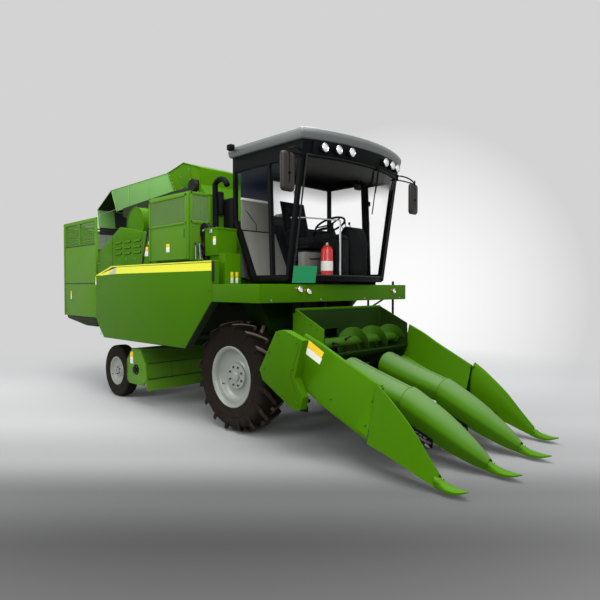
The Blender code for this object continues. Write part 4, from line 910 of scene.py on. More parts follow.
DRIVE_WHEEL = Wheel(
    name="front",
    centre=(0.0, -0.94, 0.625),
    carcass=(
        (0.146, 0.317), (0.158, 0.326), (0.160, 0.340), (0.156, 0.352), (0.163, 0.362), (0.167, 0.366),
        (0.167, 0.372), (0.170, 0.392), (0.176, 0.418), (0.1795, 0.440), (0.1800, 0.452), (0.1775, 0.456),
        (0.1775, 0.464), (0.1790, 0.470), (0.1770, 0.505), (0.1720, 0.530), (0.1640, 0.552), (0.1480, 0.568),
        (0.1180, 0.576), (0.0700, 0.580), (0.0000, 0.581),
    ),
    rim=(
        (0.150, 0.345), (0.158, 0.349), (0.166, 0.345), (0.168, 0.336), (0.163, 0.328), (0.152, 0.312),
        (0.130, 0.302), (0.098, 0.297), (0.088, 0.290), (0.074, 0.275), (0.054, 0.250), (0.046, 0.222),
        (0.047, 0.180), (0.052, 0.160), (0.060, 0.151), (0.078, 0.149), (0.085, 0.143), (0.085, 0.000),
        (0.025, 0.000), (0.025, 0.200), (0.034, 0.242), (0.054, 0.268), (0.050, 0.285), (-0.130, 0.292),
        (-0.152, 0.305), (-0.163, 0.330), (-0.163, 0.345), (-0.150, 0.346), (-0.1455, 0.318), (0.1455, 0.318),
    ),
    nuts=8,
    nut_ring=0.109,
    nut_face=0.085,
    nut_size=0.0115,
    valve_ring=0.262,
    lugs=Lugs(),
)
STEER_WHEEL = Wheel(
    name="rear",
    centre=(-2.77, -1.025, 0.385),
    carcass=(
        (0.0715, 0.197), (0.080, 0.203), (0.081, 0.213), (0.086, 0.224), (0.092, 0.246), (0.0948, 0.272),
        (0.0948, 0.280), (0.0930, 0.284), (0.0935, 0.300), (0.0905, 0.335), (0.086, 0.362), (0.078, 0.378),
        (0.070, 0.3815), (0.050, 0.3835), (0.047, 0.372), (0.034, 0.371), (0.031, 0.3838), (0.012, 0.3848),
        (0.009, 0.373), (0.000, 0.3725),
    ),
    rim=(
        (0.073, 0.211), (0.079, 0.213), (0.084, 0.209), (0.083, 0.198), (0.074, 0.187), (0.055, 0.181),
        (0.046, 0.172), (0.036, 0.150), (0.026, 0.120), (0.026, 0.092), (0.032, 0.084), (0.044, 0.080),
        (0.050, 0.074), (0.050, 0.000), (0.008, 0.000), (0.008, 0.110), (0.026, 0.158), (0.026, 0.172),
        (-0.066, 0.178), (-0.080, 0.195), (-0.082, 0.209), (-0.073, 0.211), (-0.0705, 0.1965),
        (0.0705, 0.1965),
    ),
    nuts=5,
    nut_ring=0.052,
    nut_face=0.050,
    nut_size=0.009,
    valve_ring=0.150,
)


def crown(x: float, y: float, half: float, low: float, high: float, steps: int = 16) -> list[Point]:
    """A hood's section at x: upright sides and an elliptic crown, from its right foot to its left."""
    rise = min(half * 0.8, (high - low) * 0.6)
    ring = [(x, y - half, low), (x, y - half, low + (high - rise - low) * 0.5)]
    for k in range(steps + 1):
        turn = math.pi - math.pi * k / steps
        ring.append((x, y + half * math.cos(turn), high - rise + rise * math.sin(turn)))
    return ring + [(x, y + half, low + (high - rise - low) * 0.5), (x, y + half, low)]


def flank(
    x: float, outer: float, ridge: float, inner: float, low: float, high: float, steps: int = 12,
) -> list[Point]:
    """An outer snout's section at x: a flat outer side up to its ridge and a rounded inner side."""
    rise = (high - low) * 0.6
    ring = [(x, outer, low), (x, outer * 0.5 + ridge * 0.5, low * 0.5 + high * 0.5), (x, ridge, high)]
    for k in range(1, steps + 1):
        turn = math.pi / 2 * k / steps
        ring.append((x, ridge + (inner - ridge) * math.sin(turn), high - rise + rise * math.cos(turn)))
    return ring + [(x, inner, low * 0.5 + (high - rise) * 0.5), (x, inner, low)]


def blended(rows: Sequence[Sequence[float]], steps: int) -> list[list[float]]:
    """Fill in rows between the given ones along a smooth curve.

    Args:
        rows: sections as rows of numbers, the first number rising.
        steps: rows between one given row and the next.

    Returns:
        The rows with those between them.
    """
    filled = []
    for i in range(len(rows) - 1):
        before, a, b, after = rows[max(i - 1, 0)], rows[i], rows[i + 1], rows[min(i + 2, len(rows) - 1)]
        for k in range(steps):
            t = k / steps
            filled.append([
                0.5 * (
                    2 * q + (r - p) * t + (2 * p - 5 * q + 4 * r - s) * t * t + (3 * q - p - 3 * r + s) * t ** 3
                )
                for p, q, r, s in zip(before, a, b, after)
            ])
    return filled + [list(rows[-1])]


@dataclass(frozen=True)
class Snout:
    """A folded sheet snout with the spoon of its shoe. It laps over the hood behind it.

    Each of rows is a section that crown or flank draws. Those of shoe_rows are the shoe's, and start with the
    share of the way from neck to tip.
    """

    node: str
    y: float
    rows: tuple[tuple[float, ...], ...]
    neck: float
    tip: float
    hinge: Pair
    finish: Finish = HOOD_GREEN
    pin: Pair = (-0.06, 0.06)
    flat_side: bool = False
    shoe_rows: tuple[tuple[float, ...], ...] = (
        (-0.06, 0.047, 0.051, 0.134), (0.12, 0.050, 0.041, 0.108), (0.26, 0.056, 0.036, 0.090),
        (0.40, 0.060, 0.034, 0.079), (0.56, 0.057, 0.034, 0.073), (0.70, 0.048, 0.039, 0.070),
        (0.84, 0.030, 0.050, 0.072), (0.94, 0.014, 0.060, 0.075), (1.0, 0.005, 0.066, 0.076),
    )

    def ring(self, row: Sequence[float]) -> list[Point]:
        """The section of one row."""
        return flank(*row) if self.flat_side else crown(row[0], self.y, *row[1:])

    def work(self) -> Work:
        """The snout on the right-hand side."""
        work = Work()
        work.lofted([self.ring(row) for row in blended(self.rows, 4)], self.finish, capped=False, wall=SHEET)
        # The rear edge is hemmed where it laps over the hood, though not on a flat side
        hem = self.ring(self.rows[0])[2 if self.flat_side else 0:]
        work.seam(hem, 0.0045, self.finish)
        span = self.tip - self.neck
        shoe = [
            crown(self.neck + span * share, self.y, half, low, high, 10)
            for share, half, low, high in self.shoe_rows
        ]
        work.lofted(shoe, GREEN, bevel=0.003, sharp=ROUND_SHARP)
        x, z = self.hinge
        work.rod((x, self.y + self.pin[0], z), (x, self.y + self.pin[1], z), 0.011, self.finish, 16, 0.001)
        # Rivets that hold the shoe's shank in the neck
        for share in (-0.02, 0.10):
            at = self.neck + span * share
            for side in (-1, 1):
                work.rod(
                    (at, self.y + side * 0.046, 0.095), (at, self.y + side * 0.053, 0.095), 0.006, GREEN, 12,
                    0.001,
                )
        return work

    def build(self) -> None:
        """Show the snout on both sides."""
        show_pair(self.work, self.node, FOLDED)


INNER_SNOUT = Snout(
    node="snout_inner",
    y=-0.344,
    rows=(
        (1.872, 0.196, 0.395, 0.660), (1.96, 0.190, 0.350, 0.618), (2.24, 0.168, 0.215, 0.465),
        (2.52, 0.110, 0.100, 0.270), (2.67, 0.050, 0.050, 0.140),
    ),
    neck=2.66,
    tip=2.95,
    hinge=(1.8923, 0.632),
)
OUTER_SNOUT = Snout(
    node="snout_outer",
    y=-1.0,
    rows=(
        (1.905, -1.094, -0.955, -0.838, 0.270, 0.770), (2.02, -1.092, -0.962, -0.848, 0.240, 0.688),
        (2.25, -1.085, -0.975, -0.885, 0.170, 0.485), (2.42, -1.070, -0.985, -0.925, 0.100, 0.290),
        (2.55, -1.048, -1.000, -0.952, 0.050, 0.142),
    ),
    neck=2.54,
    tip=2.80,
    hinge=(1.9123, 0.733),
    finish=GREEN,
    pin=(0.06, 0.14),
    flat_side=True,
)


@dataclass(frozen=True)
class Hoods:
    """The two arched hoods between the rows, each drawn through sections for crown."""

    y: float = -0.344
    rows: tuple[tuple[float, ...], ...] = (
        (1.13, 0.20, 0.60, 0.88), (1.40, 0.20, 0.54, 0.79), (1.88, 0.185, 0.44, 0.645),
    )

    def work(self) -> Work:
        """The right-hand hood."""
        work = Work()
        work.lofted(
            [crown(row[0], self.y, *row[1:]) for row in blended(self.rows, 5)], HOOD_GREEN, capped=False,
            wall=SHEET,
        )
        # The crown's seam, and the cap that closes its rear end against the trough
        ridge = [(x, self.y, high + 0.001) for x, _, _, high in blended(self.rows, 5)]
        work.tube(ridge, 0.003, HOOD_GREEN, 6)
        rear = crown(self.rows[0][0], self.y, *self.rows[0][1:])
        work.plate([(y, z) for _, y, z in rear], Axis.X, (1.128, 1.134), GREEN)
        work.bolts(
            [(x, self.y + s * 0.196, z) for x, z in ((1.22, 0.62), (1.42, 0.57)) for s in (-1, 1)], (0, -1, 0),
            0.007, GREEN,
        )
        for x, high in ((1.17, 0.871), (1.83, 0.664)):
            for s in (-1, 1):
                work.rod(
                    (x, self.y + s * 0.09, high - 0.045), (x + 0.004, self.y + s * 0.094, high - 0.024), 0.009,
                    GREEN, 12, 0.001,
                )
        return work

    def build(self) -> None:
        """Show both hoods."""
        show_pair(self.work, "hood_inner", FOLDED)


@dataclass(frozen=True)
class Dividers:
    """The outer dividers: a flat side panel folded over at its ridge into a low inner apron.

    Each of rows is a station with its ridge's y and z and its foot's y and z. ledge gives the ledge over the
    row unit by its height at the axle and its fall per metre.
    """

    rows: tuple[tuple[float, ...], ...] = (
        (1.03, -0.94, 1.170, -1.15, 0.740), (1.25, -0.92, 1.076, -1.135, 0.622),
        (1.45, -0.90, 0.970, -1.12, 0.510), (1.68, -0.88, 0.860, -1.105, 0.402),
        (1.90, -0.86, 0.755, -1.09, 0.300),
    )
    ledge: Pair = (1.175, -0.375)

    def section(self, row: Sequence[float]) -> list[Point]:
        """The folded sheet at one station, as an open line with its hems."""
        x, ridge, top, foot, low = row
        ledge = self.ledge[0] + self.ledge[1] * x
        return [
            (x, foot + 0.020, low), (x, foot, low), (x, foot, low + 0.035), (
                x, ridge - 0.032, top - 0.022,
            ), (x, ridge - 0.026, top - 0.012),
            (
                x, ridge - 0.012, top - 0.002,
            ), (x, ridge, top - 0.001), (x, ridge + 0.010, top - 0.009), (x, ridge + 0.055, top - 0.140),
            (x, ridge + 0.118, ledge + 0.030), (x, ridge + 0.128, ledge + 0.004), (x, ridge + 0.140, ledge),
            (
                x, ridge + 0.186, ledge - 0.006,
            ), (x, ridge + 0.196, ledge - 0.016), (x, ridge + 0.200, ledge - 0.085),
        ]

    def work(self) -> Work:
        """The right-hand divider."""
        work = Work()
        part = bmesh.new()
        grid = [[part.verts.new(p) for p in self.section(row)] for row in blended(self.rows, 3)]
        for a, b in zip(grid, grid[1:]):
            for i in range(len(a) - 1):
                part.faces.new((a[i], a[i + 1], b[i + 1], b[i]))
        bmesh.ops.recalc_face_normals(part, faces=part.faces)
        bmesh.ops.solidify(part, geom=part.faces, thickness=0.004)
        work.take(part, GREEN)
        for x, z in ((1.09, 0.80), (1.10, 0.98), (1.86, 0.42), (1.86, 0.62), (1.48, 0.60)):
            work.bolts([self.outside(x, z, 0.001)], (0.0, -0.90, 0.43), 0.008, GREEN)
        # Blank warning patch: its amber upper half and white lower half, as x, upper z, lower z at each end
        for finish, near, far in (
            (AMBER, (1.110, 1.048), (1.002, 0.946)), (WHITE, (1.046, 0.986), (0.944, 0.890)),
        ):
            corners = [
                self.outside(1.095, near[0]), self.outside(1.29, far[0]), self.outside(1.28, far[1]),
                self.outside(1.095, near[1]),
            ]
            work.patch(corners, finish)
        return work

    def outside(self, x: float, z: float, lift: float = 0.002) -> Point:
        """A point on the outer side at a station and a height, lifted off it by a little."""
        rows = self.rows
        before = max(row for row in rows if row[0] <= x)
        after = min(row for row in rows if row[0] > x)
        share = (x - before[0]) / (after[0] - before[0])
        _, ridge, top, foot, low = (a + (b - a) * share for a, b in zip(before, after))
        rise = (z - low - 0.035) / (top - low - 0.057)
        return x, foot + (ridge - 0.032 - foot) * rise - lift, z + lift * 0.4

    def build(self) -> None:
        """Show both dividers."""
        show_pair(self.work, "divider_panel", FOLDED)


@dataclass(frozen=True)
class Auger:
    """The cross auger: a tube with a flight of each hand and retracting fingers at the elevator's mouth."""

    centre: Pair = (0.93, 1.03)
    half: float = 0.752
    mouth: float = -0.37
    radius: float = 0.154
    pitch: float = 0.36

    def flight(self, work: Work, start: float, end: float) -> None:
        """Spin one flight from its outer end to the mouth."""
        x, z = self.centre
        turns = abs(end - start) / self.pitch
        hand = -1 if end < start else 1
        part = bmesh.new()
        section = [part.verts.new((x + r, start, z)) for r in (0.052, self.radius)]
        edge = part.edges.new(section)
        steps = round(turns * 40)
        lead = (0, (end - start) / steps, 0)
        bmesh.ops.spin(
            part, geom=section + [edge], cent=(x, 0, z), axis=(0, hand, 0), dvec=lead, angle=turns * math.tau,
            steps=steps,
        )
        bmesh.ops.recalc_face_normals(part, faces=part.faces)
        bmesh.ops.solidify(part, geom=part.faces, thickness=0.006)
        work.take(part, AUGER_SHADED_GREEN)

    def build(self) -> None:
        """Make the auger."""
        x, z = self.centre
        work = Work()
        work.turned(
            ((-self.half, 0.0), (-self.half, 0.055), (self.half, 0.055), (self.half, 0.0)), (x, 0, z), Axis.Y,
            AUGER_SHADED_GREEN, 36,
        )
        self.flight(work, self.half - 0.01, self.mouth + 0.14)
        self.flight(work, -self.half + 0.01, self.mouth - 0.14)
        for k in range(6):
            y = self.mouth - 0.11 + 0.044 * k
            turn = math.radians(150 * k)
            out = Vector((math.cos(turn), 0, math.sin(turn)))
            foot = Vector((x, y, z)) + out * 0.05
            work.rod(foot, foot + out * 0.09, 0.008, MACHINE, 12, 0.002)
            work.rod(foot, foot + out * 0.012, 0.018, MACHINE, 16, 0.002)
        collar = ((0.0, 0.055), (0.0, 0.075), (0.012, 0.075), (0.012, 0.055))
        for side in (-1, 1):
            work.turned(collar, (x, side * self.half * 0.985 - 0.006, z), Axis.Y, AUGER_SHADED_GREEN, 36, loop=True)
        work.shown("cross_auger")


@dataclass(frozen=True)
class RowDress:
    """What each row unit carries: fluted rolls, chain links, sprockets and tension springs."""

    rows: tuple[float, ...] = (-0.67, 0.0, 0.67)
    links: int = 26
    flutes: int = 6
    slope: float = 21.6

    def rolls(self, work: Work, row: float, side: int) -> None:
        """Ribs along a snapping roll and the cone at its front end."""
        rear, tip = Vector((1.10, row + side * 0.045, 0.640)), Vector((2.20, row + side * 0.045, 0.22))
        along = (tip - rear).normalized()
        up = along.orthogonal().normalized()
        across = along.cross(up)
        for k in range(self.flutes):
            turn = math.tau * k / self.flutes
            out = up * math.cos(turn) + across * math.sin(turn)
            work.rod(rear + out * 0.035, tip + out * 0.035, 0.005, WORN, 8)
        work.rod(tip - along * 0.02, tip + along * 0.05, 0.034, WORN, 20, 0.002, tip=0.010)

    def chain(self, work: Work, row: float, side: int) -> None:
        """Link plates along the gathering chain's strand, its sprocket and its tension spring."""
        rear, tip = Vector((1.06, row + side * 0.085, 0.702)), Vector((2.19, row + side * 0.085, 0.254))
        along = (tip - rear).normalized()
        up = Vector((-along.z, 0, along.x))
        turn = along.to_track_quat("X", "Z").to_matrix().to_4x4()
        link = Matrix.Diagonal((0.034, 0.020, 0.012, 1.0))
        for k in range(self.links):
            at = rear + (tip - rear) * (k + 0.5) / self.links + up * 0.012
            part = bmesh.new()
            bmesh.ops.create_cube(part, size=1.0, matrix=Matrix.Translation(at) @ turn @ link)
            work.take(part, WORN, 0.002, 1)
        hub = tip + along * 0.012
        sprocket = ((-0.006, 0.0), (-0.006, 0.040), (0.006, 0.040), (0.006, 0.0))
        work.turned(sprocket, tuple(hub), Axis.Z, WORN, 18, turn=about(hub, Axis.Y, self.slope))
        for k in range(7):
            coil = rear + (tip - rear) * (0.66 + 0.012 * k) - up * 0.045
            work.turned(loop_profile((0.003, 0.003), 0.016, 6), tuple(coil), Axis.X, ZINC, 16, loop=True)

    def build(self) -> None:
        """Dress the three rows."""
        work = Work()
        for row in self.rows:
            for side in (-1, 1):
                self.rolls(work, row, side)
                self.chain(work, row, side)
            # Gearbox lid with its bolts and breather
            work.block((0.87, 1.03), (row - 0.11, row + 0.11), (0.748, 0.762), MACHINE, 0.003)
            work.bolts(
                [(x, row + y, 0.762) for x in (0.885, 1.015) for y in (-0.09, 0.0, 0.09)], (0, 0, 1), 0.007,
            )
        work.done("row_unit_dress", "row_units")


@dataclass(frozen=True)
class HeaderDress:
    """Small parts of the header's trough, its chain cover and its drive."""

    def trough(self) -> None:
        """Stiffeners, stripper bar, bolts and the auger's bearings."""
        work = Work()
        # Back wall's top hem and its upright ribs
        work.seam([(0.700, -0.76, 1.398), (0.700, 0.76, 1.398)], 0.010, GREEN, 10)
        for y in (-0.62, 0.18, 0.46, 0.66):
            work.block((0.676, 0.690), (y - 0.015, y + 0.015), (0.98, 1.36), GREEN, 0.003)
        # Stripper bar under the auger and the edge of the feed mouth, in painted shade
        work.block((1.070, 1.082), (-0.74, 0.74), (0.905, 0.935), THROAT, 0.002)
        for y in (-0.665, -0.075):
            work.block((0.700, 0.716), (y - 0.012, y + 0.012), (0.90, 1.17), THROAT, 0.003)
        work.block((0.700, 0.716), (-0.665, -0.075), (1.16, 1.18), THROAT, 0.003)
        # End walls: a row of bolts along the hem, and the auger's bearing
        bearing = ((0.0, 0.0), (0.0, 0.06), (0.022, 0.06), (0.030, 0.035), (0.046, 0.030), (0.046, 0.0))
        for s, turn in ((-1, MIRRORED), (1, None)):
            spots = [(0.76 + 0.085 * k, s * 0.766, 1.345 - 0.047 * k) for k in range(4)]
            work.bolts(spots, (0, s, 0), 0.007, GREEN)
            work.turned(bearing, (0.93, -0.766, 1.03), Axis.Y, MACHINE, 28, turn=turn)
        # Red guard that shows under the auger
        work.block((0.85, 0.99), (-0.10, 0.02), (0.87, 0.90), RED, 0.006)
        work.done("header_trough_dress", "header_trough")

    def cover(self) -> None:
        """Bolts, seam and latch of the chain cover, and the shaft ends behind it."""
        work = Work()
        y = -1.2405
        spots = (
            (0.72, 0.82), (0.80, 0.99), (0.93, 1.17), (1.19, 1.11), (1.14, 0.86), (1.20, 0.53), (0.98, 0.58),
        )
        work.bolts([(x, y, z) for x, z in spots], (0, -1, 0), 0.009, GREEN)
        work.seam(
            [(1.235, y + 0.001, 1.10), (1.10, y + 0.001, 0.79), (1.185, y + 0.001, 0.63)], 0.0022, RUBBER_SEAL,
            6,
        )
        work.rod((0.84, -1.02, 0.78), (0.84, -1.155, 0.78), 0.018, STEEL, 16)
        work.rod((1.17, -1.155, 0.53), (1.17, -1.05, 0.53), 0.020, MACHINE, 16)
        work.block((1.14, 1.24), (-1.155, -1.13), (0.44, 0.50), MACHINE, 0.006)
        work.done("chain_cover_dress", "chain_cover")

    def build(self) -> None:
        """Dress the trough and the cover."""
        self.trough()
        self.cover()


@dataclass(frozen=True)
class Mesh:
    """A woven wire panel: crossing rods inside an outline's box, on a plane of constant y or x."""

    axis: Axis
    plane: float
    span: Pair
    height: Pair
    pitch: float = 0.022
    wire: float = 0.0016
    finish: Finish = GREEN_UPPER

    def add(self, work: Work) -> None:
        """Lay the wires into a piece."""
        def bar(start: Pair, end: Pair) -> None:
            work.rod(
                place(self.axis, start, self.plane), place(self.axis, end, self.plane), self.wire, self.finish,
                4,
            )

        for k in range(1, round((self.span[1] - self.span[0]) / self.pitch)):
            at = self.span[0] + k * self.pitch
            bar((at, self.height[0]), (at, self.height[1]))
        for k in range(1, round((self.height[1] - self.height[0]) / self.pitch)):
            level = self.height[0] + k * self.pitch
            bar((self.span[0], level), (self.span[1], level))


@dataclass(frozen=True)
class SkirtDress:
    """The side skirt's yellow band with its pinstripe, a reflector, folds and bolts."""

    face: float = 1.306

    def build(self) -> None:
        """Dress both skirts."""
        for side in Side:
            work = self.work() if side is Side.RIGHT else self.work().mirrored()
            work.done(f"side_skirt_dress_{side.word}", f"side_skirt_{side.word}")

    def work(self) -> Work:
        """The right skirt's dress. Outlines are (x, z) on its face."""
        work = Work()
        span = (-self.face - 0.0016, -self.face + 0.001)
        band = (
            (-3.015, 1.806), (-2.33, 1.826), (-0.072, 1.818), (-0.072, 1.908), (-2.31, 1.918), (-2.42, 1.900),
        )
        pin = (
            (-3.022, 1.812), (-2.50, 1.938), (-0.072, 1.929), (-0.072, 1.917), (-2.47, 1.926), (-2.93, 1.814),
        )
        line = (
            (-2.93, 1.814), (-2.47, 1.926), (-0.072, 1.917), (-0.072, 1.908), (-2.41, 1.918), (-2.60, 1.870),
        )
        chip = ((-2.60, 1.818), (-2.37, 1.826), (-2.33, 1.905), (-2.42, 1.898))
        work.plate(band, Axis.Y, span, YELLOW)
        work.plate(pin, Axis.Y, span, YELLOW)
        work.plate(line, Axis.Y, (span[0] + 0.0004, span[1]), BAND_LINE)
        work.plate(chip, Axis.Y, (span[0] - 0.0004, span[1]), PALE_CHIP)
        # Reflector at the band's tip, white below and yellow above
        bands = ((1.735, 1.795, AMBER), (1.672, 1.735, WHITE))
        work.stickers((-3.022, -2.997), (-self.face - 0.004, -self.face), bands, 0.001)
        # Upright seam between the skirt's two sheets, its hem along the slant, and quarter-turn studs
        work.seam([(-0.60, -self.face + 0.001, 0.93), (-0.10, -self.face + 0.001, 1.462)], 0.005, GREEN)
        y = -self.face
        for x, z in [
            (-2.86 + 0.44 * k, 0.945)
            for k in range(6)
        ] + [(-2.98, 1.26), (-2.98, 1.62), (-0.13, 1.60)]:
            work.rod((x, y + 0.001, z), (x, y - 0.003, z), 0.012, GREEN, 20, 0.001)
            work.block(
                (x - 0.008, x + 0.008), (y - 0.004, y - 0.002), (z - 0.0015, z + 0.0015), RUBBER_SEAL, 0.0,
            )
        # Shadow strip at the front end, and hinges along the top edge
        work.block((-0.072, -0.058), (-self.face - 0.001, -self.face + 0.03), (1.70, 1.925), RUBBER_SEAL, 0.001)
        for x in (-2.30, -1.30, -0.30):
            work.rod(
                (x - 0.05, -self.face + 0.012, 1.952), (x + 0.05, -self.face + 0.012, 1.950), 0.008, GREEN, 12,
                0.001,
            )
        return work


@dataclass(frozen=True)
class HousingDress:
    """The body above the skirt: louvres, seams, the volute's rings, a blank patch, and a chute wall in painted
    shade.
    """

    side_y: float = 1.20
    # A louvre's hood and the inner edge of its wall, as offsets along, out of and up the side
    louvre: tuple[tuple[Point, ...], ...] = (
        ((0.0, 0.0, 0.036), (0.2, 0.0, 0.036), (0.19, 0.010, 0.006), (0.01, 0.010, 0.006)),
        ((0.01, 0.0, 0.032), (0.19, 0.0, 0.032), (0.18, 0.007, 0.004), (0.02, 0.007, 0.004)),
    )

    def louvres(self, work: Work, s: int) -> None:
        """Pressed louvre hoods over the slots, each with a black plate behind it as painted shade in the slot.
        """
        for x in (-2.60, -2.32, -2.04):
            for z in (2.10, 2.18, 2.26):
                part = bmesh.new()
                ring, inner = (
                    [(x + a, s * (self.side_y + b), z + c) for a, b, c in outline]
                    for outline in self.louvre
                )
                a = [part.verts.new(p) for p in ring]
                b = [part.verts.new(p) for p in inner]
                loops = [[part.edges.new((v[i], v[(i + 1) % 4])) for i in range(4)] for v in (a, b)]
                bmesh.ops.bridge_loops(part, edges=loops[0] + loops[1])
                part.faces.new(a)
                part.faces.new(b)
                bmesh.ops.recalc_face_normals(part, faces=part.faces)
                work.take(part, GREEN)
                work.block(
                    (x + 0.008, x + 0.192), (s * (self.side_y - 0.011), s * (self.side_y - 0.013)),
                    (z, z + 0.034), RUBBER_SEAL, 0.0,
                )

    def build(self) -> None:
        """Dress the housing."""
        work = Work()
        for s in (-1, 1):
            self.louvres(work, s)
            y = s * (self.side_y + 0.001)
            # Panel seams, the rear edge's trim and bolts
            for x, low, high in ((-2.68, 1.96, 2.44), (-1.80, 1.96, 2.38), (-3.14, 1.96, 2.16)):
                work.seam([(x, y, low), (x, y, high)], 0.0022, RUBBER_SEAL, 6)
            work.bolts([(-2.72 + 0.24 * k, y, 2.035) for k in range(5)], (0, s, 0), 0.007)
            work.bolts([(-3.12, y, 1.20 + 0.2 * k) for k in range(5)], (0, s, 0), 0.007)
        y = -self.side_y
        # The black strap that runs down beside the screen box, and its latch
        work.plate(
            [(-1.655, 2.395), (-1.63, 2.39), (-1.775, 1.955), (-1.80, 1.955)], Axis.Y, (y - 0.012, y + 0.002),
            RUBBER_SEAL, 0.001,
        )
        work.block((-1.60, -1.50), (y - 0.03, y + 0.002), (2.26, 2.44), MACHINE, 0.012)
        work.rod((-1.55, y - 0.03, 2.40), (-1.55, y - 0.05, 2.40), 0.02, MACHINE, 16, 0.003)
        work.block((-1.61, -1.52), (y - 0.018, y + 0.001), (2.195, 2.24), PALE_CHIP, 0.004)
        work.stickers((-1.735, -1.640), (y - 0.003, y + 0.001), ((2.115, 2.175, AMBER), (2.050, 2.115, WHITE)))
        # Rings and cap of the fan's volute
        x, z, r = -2.02, 2.50, 0.24
        for offset in (1.184, 1.05, 0.90, 0.775):
            work.turned(
                loop_profile((0.004, 0.005), r + 0.002, 8), (x, -offset, z), Axis.Y, GREEN, 56, loop=True,
            )
        work.turned(((0.0, 0.0), (0.018, 0.05), (0.018, 0.09), (0.0, 0.14)), (x, -1.181, z), Axis.Y, GREEN, 40)
        # Chute wall under the discharge hood, behind the volute: a dark plate of painted shade
        wall = [(-3.26, 2.78), (-2.46, 2.50), (-1.20, 2.52), (-1.20, 2.985), (-1.75, 2.985), (-3.26, 2.906)]
        work.plate(wall, Axis.Y, (-0.745, -0.735), SHADED)
        work.done("husker_housing_dress", "husker_housing")


@dataclass(frozen=True)
class ScreenDress:
    """The air screen box: framed fine mesh on its door and its front, handles, and the drive ahead of it."""

    door_y: float = 1.294

    def door(self) -> None:
        """The hinged cover: mesh in its upper half, a pressed panel below, hinges and a handle."""
        work = Work()
        y = -self.door_y
        x0, x1, z0, z1, mid = -1.435, -0.575, 1.98, 2.735, 2.40
        work.block((x0 + 0.02, x1 - 0.02), (y - 0.0005, y + 0.004), (mid, z1 - 0.02), SCREEN_DARK, 0.0)
        Mesh(Axis.Y, y - 0.003, (x0 + 0.02, x1 - 0.02), (mid, z1 - 0.02), 0.020, 0.0016).add(work)
        for low, high in ((mid - 0.02, mid), (z1 - 0.03, z1)):
            work.block((x0, x1), (y - 0.010, y + 0.002), (low, high), GREEN_UPPER, 0.003)
        for a, b in ((x0, x0 + 0.03), (x1 - 0.03, x1)):
            work.block((a, b), (y - 0.010, y + 0.002), (z0, z1), GREEN_UPPER, 0.003)
        # Handle and a blank two-coloured patch
        handle = [
            (-0.62, y - 0.004, 2.22), (-0.62, y - 0.010, 2.22), (-0.62, y - 0.010, 2.32),
            (-0.62, y - 0.004, 2.32),
        ]
        work.tube(handle, 0.004, RUBBER_SEAL, 8)
        work.stickers((-1.03, -0.955), (y - 0.0025, y + 0.001), ((2.125, 2.165, AMBER), (2.065, 2.125, WHITE)))
        for z in (2.08, 2.62):
            work.rod(
                (-1.450, y - 0.002, z - 0.04), (-1.450, y - 0.002, z + 0.04), 0.008, GREEN_UPPER, 12, 0.001,
            )
        work.done("screen_door_dress", "screen_door")

    def front(self) -> None:
        """The box's front: mesh with its frame over a bright lower panel, its bolts and the roof edge's trim.
        """
        work = Work()
        x = -0.55
        work.block((x - 0.002, x + 0.001), (-1.24, -1.00), (2.42, 2.73), SCREEN_DARK, 0.0)
        Mesh(Axis.X, x + 0.003, (-1.24, -1.00), (2.42, 2.73), 0.020, 0.0016).add(work)
        bars = (
            ((-1.26, -0.99), (2.73, 2.76)), ((-1.26, -0.99), (2.39, 2.42)), ((-1.26, -1.24), (1.96, 2.76)),
            ((-1.01, -0.98), (1.96, 2.76)),
        )
        for span, height in bars:
            work.block((x - 0.002, x + 0.010), span, height, GREEN_UPPER, 0.003)
        for z in (2.01, 2.36):
            work.bolts([(x + 0.001, y, z) for y in (-1.22, -1.03)], (1, 0, 0), 0.007)
        # Roof edge trim
        trim = [(-1.45, -1.255, 2.772), (-0.56, -1.255, 2.762), (-0.552, -1.25, 2.755), (-0.552, -0.77, 2.755)]
        work.seam(trim, 0.006, GREEN_UPPER)
        work.done("air_screen_dress", "air_screen_box")

    def drive(self) -> None:
        """Dark pulleys, a belt, a hose bundle and a muffler between the box and the cab."""
        work = Work()
        for x, y, z, r, w in (
            (-0.47, -1.10, 2.30, 0.095, 0.05), (-0.50, -1.12, 2.06, 0.07, 0.05),
            (-0.42, -0.86, 2.12, 0.085, 0.04),
        ):
            groove = (
                (0.0, 0.0), (0.0, r), (w * 0.3, r * 0.86), (w * 0.5, r * 0.84), (w * 0.7, r * 0.86), (w, r),
                (w, 0.0),
            )
            work.turned(groove, (x, y - w / 2, z), Axis.Y, MACHINE, 36)
            work.rod((x, y - w * 0.9, z), (x, y + 0.12, z), 0.018, STEEL, 16, 0.002)
        belt = (
            (-0.375, 2.30), (-0.42, 2.39), (-0.50, 2.395), (-0.543, 2.30), (-0.545, 2.05), (-0.50, 1.992),
            (-0.435, 2.04), (-0.375, 2.30),
        )
        work.tube([(x, -1.11, z) for x, z in belt], 0.009, RUBBER_SEAL, 8)
        for k in range(4):
            y = -1.20 + 0.07 * k
            hose = [
                (-0.54, y, 2.16 - 0.04 * k), (-0.46, y + 0.01, 2.10), (-0.42, y, 1.99),
                (-0.36, y - 0.02, 1.93), (-0.20, y - 0.02, 1.80),
            ]
            work.tube(hose, 0.011, RUBBER_SEAL, 10)
        work.rod((-0.53, -0.85, 2.52), (-0.53, -0.85, 2.80), 0.05, MACHINE, 28, 0.012)
        work.block((-0.54, -0.36), (-1.17, -0.84), (1.945, 1.965), MACHINE, 0.004)
        work.seam(
            [(-0.50, -1.22, 1.96), (-0.50, -1.22, 2.12), (-0.42, -1.22, 2.14), (-0.41, -1.22, 1.96)], 0.007,
            ZINC,
        )
        # Black guard over the belts, against the elevator's casing
        work.block((-0.53, -0.34), (-0.800, -0.745), (1.95, 2.72), MACHINE, 0.02)
        work.done("fan_drive", "air_cleaner")

    def build(self) -> None:
        """Dress the box."""
        self.door()
        self.front()
        self.drive()


